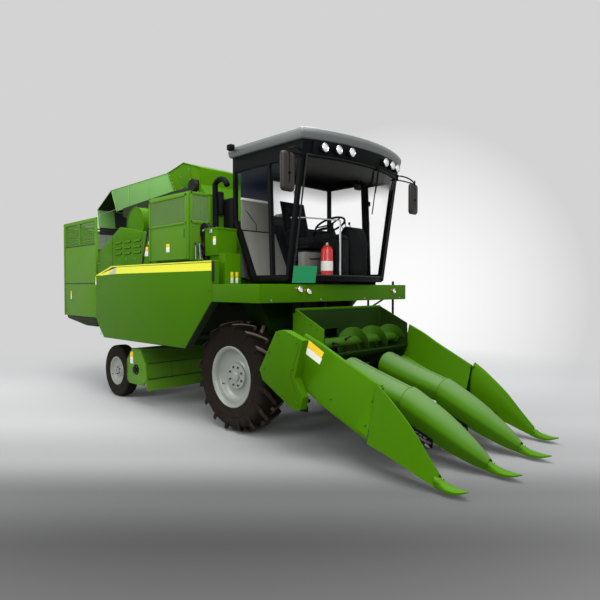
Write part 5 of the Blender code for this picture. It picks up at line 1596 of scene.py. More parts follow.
@dataclass(frozen=True)
class ElevatorDress:
    """The ear elevator's head and casing, and the discharge hood's folds and curtain."""

    y: Pair = (-0.72, -0.02)

    def elevator(self) -> None:
        """Flange bolts, shaft bearing, chain adjuster, casing seams and an inspection lid."""
        work = Work()
        near, far = self.y
        top, low = Vector((-1.905, 0, 3.273)), Vector((-1.724, 0, 2.985))
        along = (low - top) / 5
        out = Vector((0.847, 0, 0.532))
        for k in range(6):
            at = top + along * k
            for y in (near - 0.014, far + 0.014):
                work.bolts([(at.x + out.x * 0.011, y, at.z + out.z * 0.011)], out, 0.006)
        # Bearing and tension screw of the head shaft
        work.block((-1.31, -1.16), (near - 0.012, near + 0.001), (2.92, 3.06), MACHINE, 0.01)
        pulley = (
            (0.0, 0.0), (0.0, 0.085), (0.020, 0.066), (0.028, 0.066), (0.048, 0.085), (0.048, 0.03),
            (0.062, 0.03), (0.062, 0.0),
        )
        work.turned(pulley, (-1.235, near - 0.066, 2.99), Axis.Y, MACHINE, 40)
        work.rod((-1.16, near - 0.020, 2.90), (-1.02, near - 0.020, 2.75), 0.008, ZINC, 10, 0.001)
        # Casing seams along the run and across the head
        foot = Vector((0.10, near - 0.001, 1.19))
        run = Vector((-1.40, near - 0.001, 3.13)) - foot
        way = run.normalized()
        up = Vector((-way.z, 0, way.x))
        for share in (0.25, 0.5, 0.75):
            at = foot + run * share
            work.seam([at - up * 0.135, at + up * 0.135], 0.004, GREEN, 6)
        lid = [(-1.62, 3.18), (-1.36, 3.26), (-1.33, 3.08), (-1.55, 2.98)]
        work.plate(lid, Axis.Y, (near - 0.006, near + 0.001), GREEN, 0.003)
        corners = ((-1.585, 3.165), (-1.385, 3.235), (-1.355, 3.095), (-1.54, 3.01))
        work.bolts([(x, near - 0.006, z) for x, z in corners], (0, -1, 0), 0.006)
        fold = ((-1.13, 2.90), (-1.13, 3.22), (-1.52, 3.346), (-1.90, 3.272))
        work.seam([(x, near - 0.004, z) for x, z in fold], 0.006, GREEN)
        work.done("ear_elevator_dress", "ear_elevator")

    def hood(self) -> None:
        """Folded lips, bracing ribs, the deflector's hinge, the rubber curtain at the lip, and a dark plate of
        painted shade inside it.
        """
        work = Work()
        near, far = self.y
        for y in (near - 0.002, far + 0.002):
            work.seam([(-1.745, y, 2.984), (-3.52, y, 2.892), (-3.70, y, 3.24)], 0.007, GREEN_PALE)
            work.seam([(-1.93, y, 3.268), (-3.72, y, 3.255), (-4.245, y, 2.99)], 0.006, GREEN_PALE)
        for x in (-2.45, -3.10):
            work.block((x - 0.012, x + 0.012), (near + 0.01, far - 0.01), (3.240, 3.2515), GREEN_PALE, 0.002)
            for y in (near - 0.004, far + 0.004):
                work.block((x - 0.012, x + 0.012), (y - 0.004, y + 0.004), (2.965, 3.255), GREEN_PALE, 0.002)
        # Side braces of the deflector and its hinge
        work.rod((-3.72, near - 0.006, 3.256), (-3.72, far + 0.006, 3.256), 0.010, GREEN_PALE, 12)
        for y in (near + 0.02, far - 0.02):
            work.rod((-3.58, y, 2.93), (-4.18, y, 2.90), 0.006, ZINC, 10)
        work.block((-4.215, -4.209), (near + 0.02, far - 0.02), (2.56, 2.70), RUBBER_SEAL, 0.001)
        # Dark plate inside the lip, over its far half: painted shade
        work.plate(
            [(-4.236, 2.97), (-4.190, 2.69), (-4.184, 2.69), (-4.230, 2.97)], Axis.Y, (-0.42, far - 0.012),
            RUBBER_SEAL,
        )
        work.done("discharge_hood_dress", "discharge_hood")

    def build(self) -> None:
        """Dress both."""
        self.elevator()
        self.hood()


@dataclass(frozen=True)
class BinDress:
    """The ear bin: wire mesh in its windows, pressed seams, braces, reflectors and rails."""

    x: Pair = (-4.525, -3.28)
    y: float = 1.183
    z: Pair = (1.165, 2.72)
    sill: float = 2.33

    def box(self) -> None:
        """The bin's two sides, its front wall's lip and the skids below it."""
        work = Work()
        (rear, front), wall, (foot, top) = self.x, self.y, self.z
        for s in (-1, 1):
            face = s * (wall + 0.001)
            window = (self.sill, top - 0.05)
            Mesh(Axis.Y, s * (wall - 0.015), (rear + 0.055, front - 0.05), window, 0.024, 0.0015).add(work)
            work.block(
                (rear + 0.05, front - 0.05), (s * (wall - 0.019), s * (wall - 0.020)), window, WIRE_CLOTH, 0.0,
            )
            # Two pressed grooves in painted shade with the folds over them, the top rail and the corner posts
            for level in (2.315, 1.70):
                work.block(
                    (rear + 0.02, front - 0.03), (face - s * 0.003, face + s * 0.0006),
                    (level - 0.010, level + 0.010), GROOVE, 0.0,
                )
                work.seam(
                    [(rear + 0.02, face, level + 0.012), (front - 0.03, face, level + 0.012)], 0.004,
                    GREEN_UPPER, 6,
                )
            work.seam(
                [(rear + 0.01, s * (wall - 0.015), top), (front, s * (wall - 0.015), top)], 0.009, GREEN_UPPER,
                10,
            )
            for a in (rear + 0.012, front - 0.012):
                work.block(
                    (a - 0.012, a + 0.012), (face - s * 0.002, face + s * 0.006), (foot, top), GREEN_UPPER,
                    0.003,
                )
            # Diagonal brace behind the mesh, reflector and bolts
            work.rod(
                (rear + 0.06, s * (wall - 0.024), 2.66), (front - 0.62, s * (wall - 0.024), self.sill), 0.006,
                GREEN_UPPER, 8,
            )
            bands = ((1.515, 1.575, AMBER), (1.44, 1.515, WHITE))
            work.stickers((-4.27, -4.235), (face - s * 0.001, face + s * 0.004), bands, 0.001)
            work.bolts([(rear + 0.10 + 0.26 * k, face, 1.20) for k in range(5)], (0, s, 0), 0.007)
        # Skids that slope down under the floor, beside the frame, in painted shade
        for s in (-1, 1):
            skid = [(-4.50, foot + 0.002), (-4.44, 1.11), (-3.70, 1.02), (-3.30, 1.02), (-3.30, foot + 0.002)]
            work.plate(skid, Axis.Y, (s * 0.60, s * 1.165), SHADED, 0.006)
        # Stiff lip and ribs of the low front wall, and ribs on the floor
        work.rod((front - 0.015, -1.15, 2.155), (front - 0.015, 1.15, 2.155), 0.012, GREEN_UPPER, 12)
        for y in (-0.7, -0.35, 0.0, 0.35, 0.7):
            work.block((front - 0.002, front + 0.012), (y - 0.02, y + 0.02), (1.20, 2.12), GREEN_UPPER, 0.003)
            work.block(
                (rear + 0.04, front - 0.04), (y - 0.012, y + 0.012), (foot + 0.030, foot + 0.036), GREEN_UPPER,
                0.001,
            )
        work.done("ear_bin_dress", "ear_bin")

    def gate(self) -> None:
        """The tailgate: mesh, ribs, latch bar, reflectors and rear lamps."""
        work = Work()
        x, wall, top = -4.56, self.y, self.z[1]
        for s in (-1, 1):
            across, window = sorted((s * 0.06, s * (wall - 0.06))), (self.sill, top - 0.12)
            Mesh(Axis.X, x + 0.015, tuple(across), window, 0.024, 0.0015).add(work)
            work.block((x + 0.019, x + 0.020), tuple(across), window, WIRE_CLOTH, 0.0)
            work.block((x - 0.003, x + 0.001), (s * 0.72, s * 1.08), (1.26, 1.33), WHITE, 0.001)
            for inner, outer in ((0.72, 0.80), (0.96, 1.04)):
                work.block((x - 0.004, x + 0.001), (s * inner, s * outer), (1.26, 1.33), RED_LENS, 0.001)
            work.block((x - 0.007, x + 0.001), (s * 1.06, s * 1.14), (1.38, 1.52), RED_LENS, 0.004)
            work.block((x - 0.007, x + 0.001), (s * 1.06, s * 1.14), (1.53, 1.58), AMBER_LENS, 0.004)
        for y in (-0.78, -0.39, 0.0, 0.39, 0.78):
            work.block((x - 0.006, x + 0.002), (y - 0.018, y + 0.018), (1.20, 2.28), GREEN_UPPER, 0.002)
        for level in (2.30, 1.70, 1.19):
            work.block(
                (x - 0.006, x + 0.002), (-1.16, 1.16), (level - 0.014, level + 0.014), GREEN_UPPER, 0.002,
            )
        work.rod((x - 0.002, -0.30, 1.24), (x - 0.002, 0.30, 1.24), 0.006, ZINC, 10)
        work.done("bin_tailgate_dress", "bin_tailgate")

    def build(self) -> None:
        """Dress the bin."""
        self.box()
        self.gate()


@dataclass(frozen=True)
class EngineDress:
    """The engine's outside: rocker cover, manifold, silencer, filters, ribs and fan shroud on its block."""

    x: Pair = (-1.45, -0.70)
    left: float = 0.86
    top: float = 2.58

    def build(self) -> None:
        """Dress the engine."""
        work = Work()
        rear, front, left = *self.x, self.left
        work.block((-1.36, -0.80), (0.28, 0.58), (self.top - 0.002, self.top + 0.075), MACHINE, 0.022)
        for k in range(4):
            x = -1.28 + 0.137 * k
            work.rod((x, 0.43, self.top + 0.07), (x, 0.43, self.top + 0.088), 0.014, ZINC, 16, 0.002)
            port = [
                (x, left - 0.002, 2.44), (x, left + 0.05, 2.44), (x + 0.02, left + 0.065, 2.40),
                (x + 0.03, left + 0.065, 2.36),
            ]
            work.tube(port, 0.022, WORN, 14)
            work.tube(
                [(x, 0.58, self.top + 0.02), (x, 0.66, self.top + 0.03), (x, 0.70, self.top - 0.004)], 0.006,
                ZINC, 8,
            )
        work.rod((-1.34, left + 0.065, 2.35), (-0.78, left + 0.065, 2.35), 0.030, WORN, 20, 0.004)
        # Silencer on the deck with its pipe
        work.rod((-1.20, 0.72, 2.68), (-0.86, 0.72, 2.68), 0.075, WORN, 32, 0.012)
        pipe = [
            (-0.86, 0.72, 2.68), (-0.80, 0.72, 2.68), (-0.78, 0.72, 2.72), (-0.78, 0.72, 2.98),
            (-0.80, 0.74, 3.03), (-0.84, 0.77, 3.05),
        ]
        work.tube(pipe, 0.030, WORN, 16)
        for x in (-1.15, -0.92):
            work.block((x - 0.012, x + 0.012), (0.70, 0.74), (self.top - 0.002, 2.62), MACHINE, 0.002)
        # Ribs, sump line, filters and a hose on the left side
        for k in range(7):
            x = -1.40 + 0.108 * k
            work.block((x - 0.008, x + 0.008), (left - 0.002, left + 0.012), (1.96, 2.26), MACHINE, 0.003)
        for level in (1.95, 2.27, 2.50):
            work.block(
                (rear + 0.01, front - 0.01), (left - 0.002, left + 0.016), (level - 0.010, level + 0.010),
                MACHINE, 0.004,
            )
        for x in (-1.24, -1.12):
            work.rod((x, left + 0.055, 2.06), (x, left + 0.055, 2.20), 0.042, ZINC, 28, 0.008)
            work.block((x - 0.03, x + 0.03), (left - 0.002, left + 0.06), (2.20, 2.235), MACHINE, 0.006)
        work.tube(
            [
                (-0.98, left, 2.14), (-0.96, left + 0.06, 2.12), (-0.86, left + 0.06, 2.02),
                (-0.72, left + 0.01, 1.99),
            ],
            0.014, RUBBER_SEAL, 12,
        )
        # Fan shroud and radiator core on the rear end, with a hose to the cover
        shroud = ((0.0, 0.0), (0.0, 0.26), (-0.03, 0.28), (-0.03, 0.25), (-0.012, 0.24), (-0.012, 0.0))
        work.turned(shroud, (rear, 0.445, 2.25), Axis.X, MACHINE, 44)
        for k in range(9):
            z = 2.05 + 0.05 * k
            half = math.sqrt(0.245 ** 2 - (z - 2.25) ** 2)
            work.rod((rear - 0.028, 0.445 - half, z), (rear - 0.028, 0.445 + half, z), 0.003, ZINC, 6)
        work.tube(
            [(-1.36, 0.40, self.top + 0.04), (-1.43, 0.40, self.top + 0.05), (-1.46, 0.40, self.top - 0.01)],
            0.022, RUBBER_SEAL, 14,
        )
        work.done("engine_dress", "engine_block", smooth=SOFT)


# The cab's bowed front, drawn as in the CAD: half width, bow, sill and top heights, the corner posts'
# stations at the sill and at the top, and the floor's height
CAB_HALF = 0.86
CAB_BOW = 0.17
CAB_Z = (1.70, 3.16)
CAB_CORNER = (0.66, 0.90)
CAB_FLOOR = 1.7203


def front_x(y: float, z: float) -> float:
    """The station of the cab's bowed front at a width and a height."""
    share = (z - CAB_Z[0]) / (CAB_Z[1] - CAB_Z[0])
    corner = CAB_CORNER[0] + share * (CAB_CORNER[1] - CAB_CORNER[0])
    radius = (CAB_HALF ** 2 + CAB_BOW ** 2) / (2 * CAB_BOW)
    return corner + math.sqrt(radius ** 2 - y ** 2) - (radius - CAB_BOW)


def rounded(y: Pair, z: Pair, radius: float, x: float, steps: int = 5) -> list[Point]:
    """A rounded rectangle on a plane of constant x, as a ring of points."""
    (left, right), (low, high) = sorted(y), sorted(z)
    corners = (
        (right - radius, high - radius), (left + radius, high - radius), (left + radius, low + radius),
        (right - radius, low + radius),
    )
    return [
        (x, *p)
        for k, centre in enumerate(corners) for p in arc(centre, radius, 90 * k, 90 * k + 90, steps)
    ]


@dataclass(frozen=True)
class Roof:
    """The moulded roof: painted sky light on its top and painted shade on its brow all round, with a small lamp
    at its rear corner.
    """

    brow_slope: float = 0.62

    def build(self) -> None:
        """Make the roof."""
        work = Work()
        work.node("cab_roof", ROOF, 0.014, 3, sharp=20.0)
        # The brow's upright faces get painted shade
        work.repaint(ROOF_BROW_SHADE, lambda middle, normal: abs(normal.z) < self.brow_slope)
        work.block((-0.22, -0.14), (-0.985, -0.915), (3.22, 3.29), BLACK, 0.014)
        work.shown("cab_roof", SOFT)


@dataclass(frozen=True)
class Fascia:
    """The band under the brow with its six work lamps."""

    places: tuple[float, ...] = (0.31, 0.49, 0.66)
    drop: float = 0.078
    reach: float = 0.060

    def build(self) -> None:
        """Make the band, each lamp's chromed ring and its lens."""
        work = Work()
        work.node("lamp_fascia", BLACK, 0.003)
        ring = ((-0.004, 0.047), (0.008, 0.047), (0.011, 0.044), (0.007, 0.039), (-0.004, 0.039))
        lens = ((0.0, 0.040), (0.006, 0.036), (0.010, 0.022), (0.011, 0.0))
        for side in (-1, 1):
            for width in self.places:
                centre = (front_x(width, CAB_Z[1] - 0.02) + self.reach, side * width, CAB_Z[1] - self.drop)
                work.turned(ring, centre, Axis.X, CHROME, 40, loop=True)
                work.turned(lens, centre, Axis.X, LAMP_LENS, 40)
        work.shown("lamp_fascia")


@dataclass(frozen=True)
class FrontTrim:
    """What sits on the windscreen: its rubber seal, the parked wiper and a blank green card."""

    seal: float = 0.009
    edge: float = 0.80
    low: float = 1.765
    high: float = 3.012

    def line(self, z: float, out: float) -> list[Point]:
        """The front line at a height, moved out from the glass."""
        widths = [self.edge * (k / 6 - 1) for k in range(13)]
        return [(front_x(y, z) + out, y, z) for y in widths]

    def wiper(self, work: Work) -> None:
        """Motor cap under the band, arm, and a blade that hangs down the glass."""
        y = 0.238
        top = front_x(y, 3.0)
        work.block((top - 0.01, top + 0.030), (y - 0.03, y + 0.03), (2.985, 3.025), BLACK, 0.008)
        arm = [(top + 0.020, y, 3.0), (front_x(y, 2.85) + 0.030, y, 2.85), (front_x(y, 2.73) + 0.022, y, 2.73)]
        work.tube(arm, 0.006, BLACK, 10)
        blade = [(front_x(y, z) + 0.012, y + 0.004, z) for z in (2.97, 2.85, 2.73, 2.61, 2.49)]
        work.tube(blade, 0.007, RUBBER_SEAL, 10)

    def card(self, work: Work) -> None:
        """The card at the foot of the glass on the right, plain on both sides."""
        near, far, low, high = -0.825, -0.555, 1.682, 1.862
        spots = ((near, low), (near, high), (far, high), (far, low))
        work.patch([(front_x(y, z) + 0.034, y, z) for y, z in spots], CARD_GREEN, 0.002)

    def build(self) -> None:
        """Make the pieces on the glass."""
        work = Work()
        for z in (self.low, self.high):
            work.seam(self.line(z, 0.004), self.seal, RUBBER_SEAL)
        for s in (-1, 1):
            sides = [(front_x(self.edge, z) + 0.004, s * self.edge, z) for z in (self.low, 2.4, self.high)]
            work.seam(sides, self.seal, RUBBER_SEAL)
        self.wiper(work)
        self.card(work)
        # Inner mirror under the lining
        work.rod((0.985, -0.03, 3.02), (0.975, -0.03, 2.80), 0.005, BLACK, 8)
        work.block((0.945, 0.970), (-0.085, 0.025), (2.735, 2.800), BLACK, 0.012)
        work.done("windscreen_trim", "windscreen", slot="black paint")


@dataclass(frozen=True)
class Mirrors:
    """A rear-view mirror on each side: rounded shell, silvered glass, bent arm, ball joint and clamp."""

    wall: float = -0.8603

    def work(self) -> Work:
        """The right-hand mirror."""
        work = Work()
        y = self.wall
        work.block((0.86, 0.90), (y - 0.012, y), (2.98, 3.06), BLACK, 0.003)
        upper = ((0.88, 0.016, 3.045), (0.93, 0.09, 3.058), (0.962, 0.24, 3.02), (0.965, 0.27, 2.98))
        lower = ((0.88, 0.016, 2.995), (0.92, 0.09, 2.99), (0.958, 0.25, 2.975), (0.965, 0.27, 2.965))
        for arm, radius in ((upper, 0.009), (lower, 0.008)):
            work.tube([(x, y - out, z) for x, out, z in arm], radius, BLACK, 12)
        work.rod((0.976, y - 0.27, 3.01), (0.976, y - 0.27, 2.66), 0.009, BLACK, 14, 0.001)
        work.turned(arc((0.0, 0.0), 0.020, 0, 180, 9), (0.976, y - 0.27, 2.76), Axis.Z, BLACK, 20)
        width, height = (y - 0.36, y - 0.18), (2.58, 2.97)

        def outline(x: float, inset: float, radius: float) -> list[Point]:
            return rounded(
                (width[0] + inset, width[1] - inset), (height[0] + inset, height[1] - inset), radius, x,
            )

        insets = ((0.936, 0.004), (0.940, 0.0), (0.958, 0.0), (0.972, 0.010), (0.980, 0.026), (0.982, 0.05))
        work.lofted([outline(x, inset, 0.040 - inset * 0.3) for x, inset in insets], SHELL)
        face = outline(0.9352, 0.010, 0.034)
        work.lofted([face, [(x + 0.002, a, b) for x, a, b in face]], MIRROR)
        return work

    def build(self) -> None:
        """Show both mirrors."""
        show_pair(self.work, "mirror", SOFT)


@dataclass(frozen=True)
class Column:
    """The steering stand: moulded box, gauge hood, column, and a tilted wheel with a round rim."""

    hub: Point = (0.52, 0.0, 2.38)
    tilt: float = -25.0
    rim: float = 0.1825
    grip: float = 0.0125

    def build(self) -> None:
        """Make the stand and the wheel."""
        work = Work()
        work.block((0.52, 0.72), (-0.12, 0.12), (CAB_FLOOR, 2.20), PLASTIC, 0.03)
        work.plate(
            [(0.52, 2.19), (0.70, 2.19), (0.72, 2.215), (0.66, 2.26), (0.53, 2.22)], Axis.Y, (-0.115, 0.115),
            PLASTIC, 0.01,
        )
        turn = about(self.hub, Axis.Y, self.tilt)
        work.rod((0.62, 0, 2.17), self.hub, 0.028, PLASTIC, 20, 0.003)
        circle = loop_profile((self.grip, self.grip), self.rim, 10)
        work.turned(circle, self.hub, Axis.Z, PLASTIC, 56, loop=True, turn=turn)
        boss = ((-0.03, 0.0), (-0.03, 0.028), (0.0, 0.045), (0.010, 0.04), (0.014, 0.0))
        work.turned(boss, self.hub, Axis.Z, PLASTIC, 32, turn=turn)
        for k in range(3):
            angle = math.tau * k / 3
            x, y = math.cos(angle), math.sin(angle)
            start = Vector(self.hub) + Vector((0.03 * x, 0.03 * y, 0.002))
            end = Vector(self.hub) + Vector((self.rim * x, self.rim * y, 0.0))
            work.rod(start, end, 0.011, PLASTIC, 10, tip=0.007, turn=turn)
        work.rod((0.60, 0.02, 2.24), (0.57, 0.14, 2.30), 0.005, BLACK, 8)
        work.shown("steering_column", SOFT)


@dataclass(frozen=True)
class Pad:
    """A foam pad of the seat: a rounded, leaning block that a cloth simulation swells."""

    name: str
    x: Pair
    y: Pair
    z: Pair
    lean: float = 0.0
    voxel: float = 0.007
    cap: float = 0.018
    pressure: float = 4.0
    frames: int = 20

    def swell(self, piece: bpy.types.Object) -> None:
        """Remesh the pad, let it swell under pressure and keep the result, moved by no more than the cap.

        Args:
            piece: the pad's object, changed in place.
        """
        scene = bpy.context.scene
        remesh = piece.modifiers.new("remesh", "REMESH")
        remesh.mode = "VOXEL"
        remesh.voxel_size = self.voxel
        self.keep(piece)
        rest = [v.co.copy() for v in piece.data.vertices]
        cloth = piece.modifiers.new("cloth", "CLOTH")
        cloth.settings.use_pressure = True
        cloth.settings.uniform_pressure_force = self.pressure
        cloth.settings.effector_weights.gravity = 0.0
        for step in range(1, self.frames + 1):
            scene.frame_set(step)
        self.keep(piece)
        scene.frame_set(1)
        for vert, start in zip(piece.data.vertices, rest):
            moved = vert.co - start
            if moved.length > self.cap:
                vert.co = start + moved.normalized() * self.cap
        piece.data.shade_smooth()

    def keep(self, piece: bpy.types.Object) -> None:
        """Make what the modifiers show the pad's own mesh, and remove them."""
        shown = piece.evaluated_get(bpy.context.evaluated_depsgraph_get())
        mesh = bpy.data.meshes.new_from_object(shown)
        piece.modifiers.clear()
        old = piece.data
        piece.data = mesh
        mesh.name = piece.name
        bpy.data.meshes.remove(old)

    def build(self) -> None:
        """Make the pad."""
        work = Work()
        shear = Matrix.Identity(4)
        shear[0][2] = -self.lean
        middle = Matrix.Translation((0, 0, self.z[0]))
        work.block(self.x, self.y, self.z, CLOTH, 0.028, middle @ shear @ middle.inverted())
        piece = work.done(self.name, "seat", smooth=60.0)
        self.swell(piece)
        soft = piece.modifiers.new("subdivision", "SUBSURF")
        soft.levels = soft.render_levels = 1


@dataclass(frozen=True)
class SeatBase:
    """What carries the seat's pads: a pan, a back shell, bellows and its arms."""

    def build(self) -> None:
        """Make the base."""
        work = Work()
        work.block((0.03, 0.35), (-0.20, 0.20), (2.105, 2.135), PLASTIC, 0.01)
        work.block((-0.02, 0.30), (-0.17, 0.17), (CAB_FLOOR, 1.78), PLASTIC, 0.008)
        for k in range(6):
            z = 1.79 + 0.052 * k
            work.block((0.02, 0.29), (-0.155, 0.155), (z, z + 0.04), RUBBER_SEAL, 0.016)
        work.plate(
            [(0.018, 2.16), (-0.125, 2.72), (-0.145, 2.72), (-0.005, 2.16)], Axis.Y, (-0.21, 0.21), PLASTIC,
            0.006,
        )
        for side in (-1, 1):
            work.tube(
                [(0.02, side * 0.245, 2.30), (0.04, side * 0.25, 2.39), (0.26, side * 0.25, 2.385)], 0.018,
                PLASTIC, 14,
            )
        work.done("seat_base", "seat", ("seat",), SOFT)


@dataclass(frozen=True)
class Interior:
    """What shows through the glass: linings, a console, a bottle, a box, a post and a rail."""

    def build(self) -> None:
        """Make the interior."""
        work = Work()
        # Lining under the roof, and the rear wall's panels: blue-black above, grey beige below
        work.block((-0.20, 0.92), (-0.80, 0.80), (3.085, 3.115), LINING_DARK, 0.01)
        work.block((-0.19, -0.17), (-0.80, -0.29), (1.75, 2.67), LINING, 0.006)
        work.block((-0.19, -0.165), (-0.80, -0.29), (2.67, 2.695), WHITE, 0.002)
        work.block((-0.19, -0.17), (-0.80, -0.29), (2.70, 3.10), NIGHT, 0.006)
        work.plate(
            [(-0.150, 2.30), (0.118, 1.735), (0.130, 1.735), (-0.138, 2.30)], Axis.Y, (-0.80, -0.29), LINING,
        )
        cables = (
            (-0.74, 2.55, -0.58, 2.40), (-0.58, 2.40, -0.56, 2.05), (-0.56, 2.05, -0.36, 1.95),
            (-0.66, 2.30, -0.70, 2.10),
        )
        for y0, z0, y1, z1 in cables:
            work.rod((-0.163, y0, z0), (-0.163, y1, z1), 0.004, BLACK, 6)
        work.block((-0.16, -0.10), (-0.72, -0.60), (1.98, 2.12), LINING, 0.008)
        # Side console with levers, left of the wheel
        console = [(0.44, 1.74), (0.62, 1.74), (0.64, 2.20), (0.58, 2.37), (0.50, 2.40), (0.42, 2.30)]
        work.plate(console, Axis.Y, (0.27, 0.60), PLASTIC, 0.035, 3)
        for k in range(3):
            y = 0.33 + 0.09 * k
            work.rod((0.46, y, 2.34), (0.40, y, 2.44), 0.006, ZINC, 8)
            work.rod((0.40, y, 2.44), (0.395, y, 2.47), 0.014, PLASTIC, 12, 0.004)
        # Grey box on the floor, post and rail behind the glass
        work.block((0.33, 0.44), (-0.36, -0.06), (CAB_FLOOR, 2.05), LINING, 0.012)
        work.tube(
            [(0.415, -0.35, 2.00), (0.45, -0.25, 1.93), (0.45, -0.15, 2.00), (0.44, -0.09, 1.97)], 0.008,
            BLACK, 8,
        )
        work.rod((0.79, -0.135, 1.76), (0.79, -0.135, 2.40), 0.011, CHROME, 16)
        rail = ((0.79, -0.135, 2.40), (0.70, -0.62, 2.395), (0.665, -0.80, 2.38))
        for start, end in zip(rail, rail[1:]):
            work.rod(start, end, 0.008, CHROME, 12)
        # Floor mat
        work.block((-0.18, 0.66), (-0.78, 0.78), (1.722, 1.735), RUBBER_SEAL, 0.003)
        work.done("cab_interior", "cab_frame", smooth=SOFT)
        self.bottle((0.655, -0.21), 1.735)

    def bottle(self, at: Pair, foot: float) -> None:
        """A red pressure bottle with a plain white band, a valve and a hose."""
        work = Work()
        x, y = at
        r, h = 0.070, 0.33
        shell = (
            (0.0, 0.0), (0.004, r * 0.9), (0.012, r), (h, r), (h + 0.035, r * 0.72), (h + 0.055, r * 0.30),
            (h + 0.060, 0.0),
        )
        work.turned(shell, (x, y, foot), Axis.Z, RED, 40)
        work.turned(((0.09, r + 0.0006), (0.20, r + 0.0006)), (x, y, foot), Axis.Z, WHITE, 40)
        work.rod((x, y, foot + h + 0.05), (x, y, foot + h + 0.085), 0.018, ZINC, 16, 0.003)
        work.block(
            (x - 0.012, x + 0.012), (y - 0.05, y + 0.03), (foot + h + 0.082, foot + h + 0.094), BLACK, 0.003,
        )
        top = foot + h
        hose = [
            (x, y + 0.02, top + 0.07), (x + 0.02, y + 0.085, top + 0.05), (x + 0.01, y + 0.085, foot + 0.22),
            (x + 0.01, y + 0.08, foot + 0.14),
        ]
        work.tube(hose, 0.009, BLACK, 10)
        work.done("pressure_bottle", "cab_frame", smooth=SOFT)


@dataclass(frozen=True)
class PlatformDress:
    """Lamps on the platform's front edge, the tool box's lid, strip reflectors, tread plate and a brace."""

    front: float = 0.73
    deck: float = 1.667

    def lamp(self, work: Work, y: float, z: float) -> None:
        """A round lamp with a small amber side marker."""
        ring = ((0.0, 0.034), (0.016, 0.034), (0.020, 0.030), (0.016, 0.027), (0.0, 0.027))
        lens = ((0.002, 0.028), (0.014, 0.022), (0.018, 0.0))
        marker = ((0.002, 0.012), (0.012, 0.009), (0.014, 0.0))
        work.turned(ring, (self.front, y, z), Axis.X, CHROME, 32, loop=True)
        work.turned(lens, (self.front, y, z), Axis.X, LAMP_LENS, 32)
        work.turned(marker, (self.front, y - 0.055, z + 0.012), Axis.X, AMBER_LENS, 28)

    def build(self) -> None:
        """Dress the platform."""
        work = Work()
        for y, z in ((-0.735, 1.612), (-0.60, 1.590), (1.02, 1.590)):
            self.lamp(work, y, z)
        # Tool box: lid with a lip, latch, blank mark
        work.block((-0.405, -0.155), (-1.165, -0.875), (2.290, 2.318), GREEN, 0.006)
        work.block((-0.31, -0.25), (-1.168, -1.160), (2.255, 2.300), ZINC, 0.002)
        work.block((-0.24, -0.19), (-1.1625, -1.160), (2.12, 2.19), WHITE, 0.0005)
        work.block((-0.24, -0.19), (-1.1630, -1.160), (2.19, 2.215), AMBER, 0.0005)
        # Strip reflectors on the stand
        for y in (-1.050, -0.980):
            bands = ((1.680, 1.742, WHITE), (1.742, 1.808, AMBER))
            work.stickers((-0.040, -0.033), (y - 0.018, y + 0.018), bands, 0.001)
        # Tread plate: rows of small raised lozenges on the deck outside the cab
        for s in (-1, 1):
            for k in range(17):
                for j in range(6):
                    x, y = 0.01 + 0.042 * k, s * (0.92 + 0.062 * j)
                    slant = about((x, y, self.deck), Axis.Z, 45 if (k + j) % 2 else -45)
                    work.block(
                        (x - 0.013, x + 0.013), (y - 0.003, y + 0.003), (self.deck, self.deck + 0.002), GREEN,
                        0.0, slant,
                    )
        # Edge trim bolts and the brace below the left front corner
        work.bolts([(self.front, y, 1.50) for y in (-1.15, -0.40, 0.40, 1.15)], (1, 0, 0), 0.009)
        work.rod((0.60, 0.97, 1.475), (0.50, 0.80, 1.36), 0.012, GREEN, 12)
        work.done("platform_dress", "platform", smooth=SOFT)


@dataclass(frozen=True)
class ChopperDress:
    """Blank patch, folded seams, bolts and bearing caps of the stalk chopper's hood."""

    face: float = 1.20
    # On a side, as x and z: the rotor's end, the folded edge and the bolts along it
    rotor: Pair = (-1.99, 0.50)
    fold: tuple[Pair, ...] = ((-2.25, 0.345), (-2.25, 0.62), (-2.10, 0.782), (-1.86, 0.782), (-1.735, 0.62))
    holes: tuple[Pair, ...] = (
        (-2.22, 0.40), (-2.22, 0.60), (-2.08, 0.745), (-1.88, 0.745), (-1.77, 0.60), (-1.77, 0.36),
    )

    def build(self) -> None:
        """Dress the hood."""
        work = Work()
        for s in (-1, 1):
            y = s * self.face
            x, z = self.rotor
            cap = ((0.0, 0.07), (0.012, 0.07), (0.020, 0.045), (0.034, 0.045), (0.036, 0.0))
            work.turned([(0.0, 0.0)] + [(s * out, r) for out, r in cap], (x, y, z), Axis.Y, MACHINE, 32)
            ring = [
                (x + 0.056 * math.cos(t), y + s * 0.012, z + 0.056 * math.sin(t))
                for t in (0.8, 2.36, 3.93, 5.5)
            ]
            work.bolts(ring, (0, s, 0), 0.006)
            work.seam([(a, y, b) for a, b in self.fold], 0.006, GREEN)
            work.bolts([(a, y, b) for a, b in self.holes], (0, s, 0), 0.007)
            work.stickers((-2.16, -2.08), (y, y + s * 0.0025), ((0.57, 0.66, WHITE), (0.66, 0.735, AMBER)))
        # Two slits in painted shade, and upright folds across the front sheet
        for y in (-0.80, -0.30, 0.30, 0.80):
            work.seam([(-1.737, y, 0.62), (-1.714, y, 0.36)], 0.007, GREEN)
        for z, x in ((0.60, -1.726), (0.39, -1.709)):
            work.block((x - 0.001, x + 0.0035), (-1.17, 1.17), (z - 0.007, z + 0.007), GROOVE, 0.0)
        work.done("chopper_hood_dress", "chopper_hood")


# Heights up to which the elevator's foot and the trough's inside lie in shade, and the discharge hood's middle
THROAT_TOP = 1.62
TROUGH_TOP = 1.385
HOOD_MIDDLE = -0.37


# Rules that pick the faces which get painted shade
def hood_inside(middle: Vector, normal: Vector) -> bool:
    """The discharge hood's roof from below and the inner sides of its walls."""
    return normal.z < -0.3 and middle.z > 2.9 or abs(normal.y) > 0.7 and (middle.y - HOOD_MIDDLE) * normal.y < 0


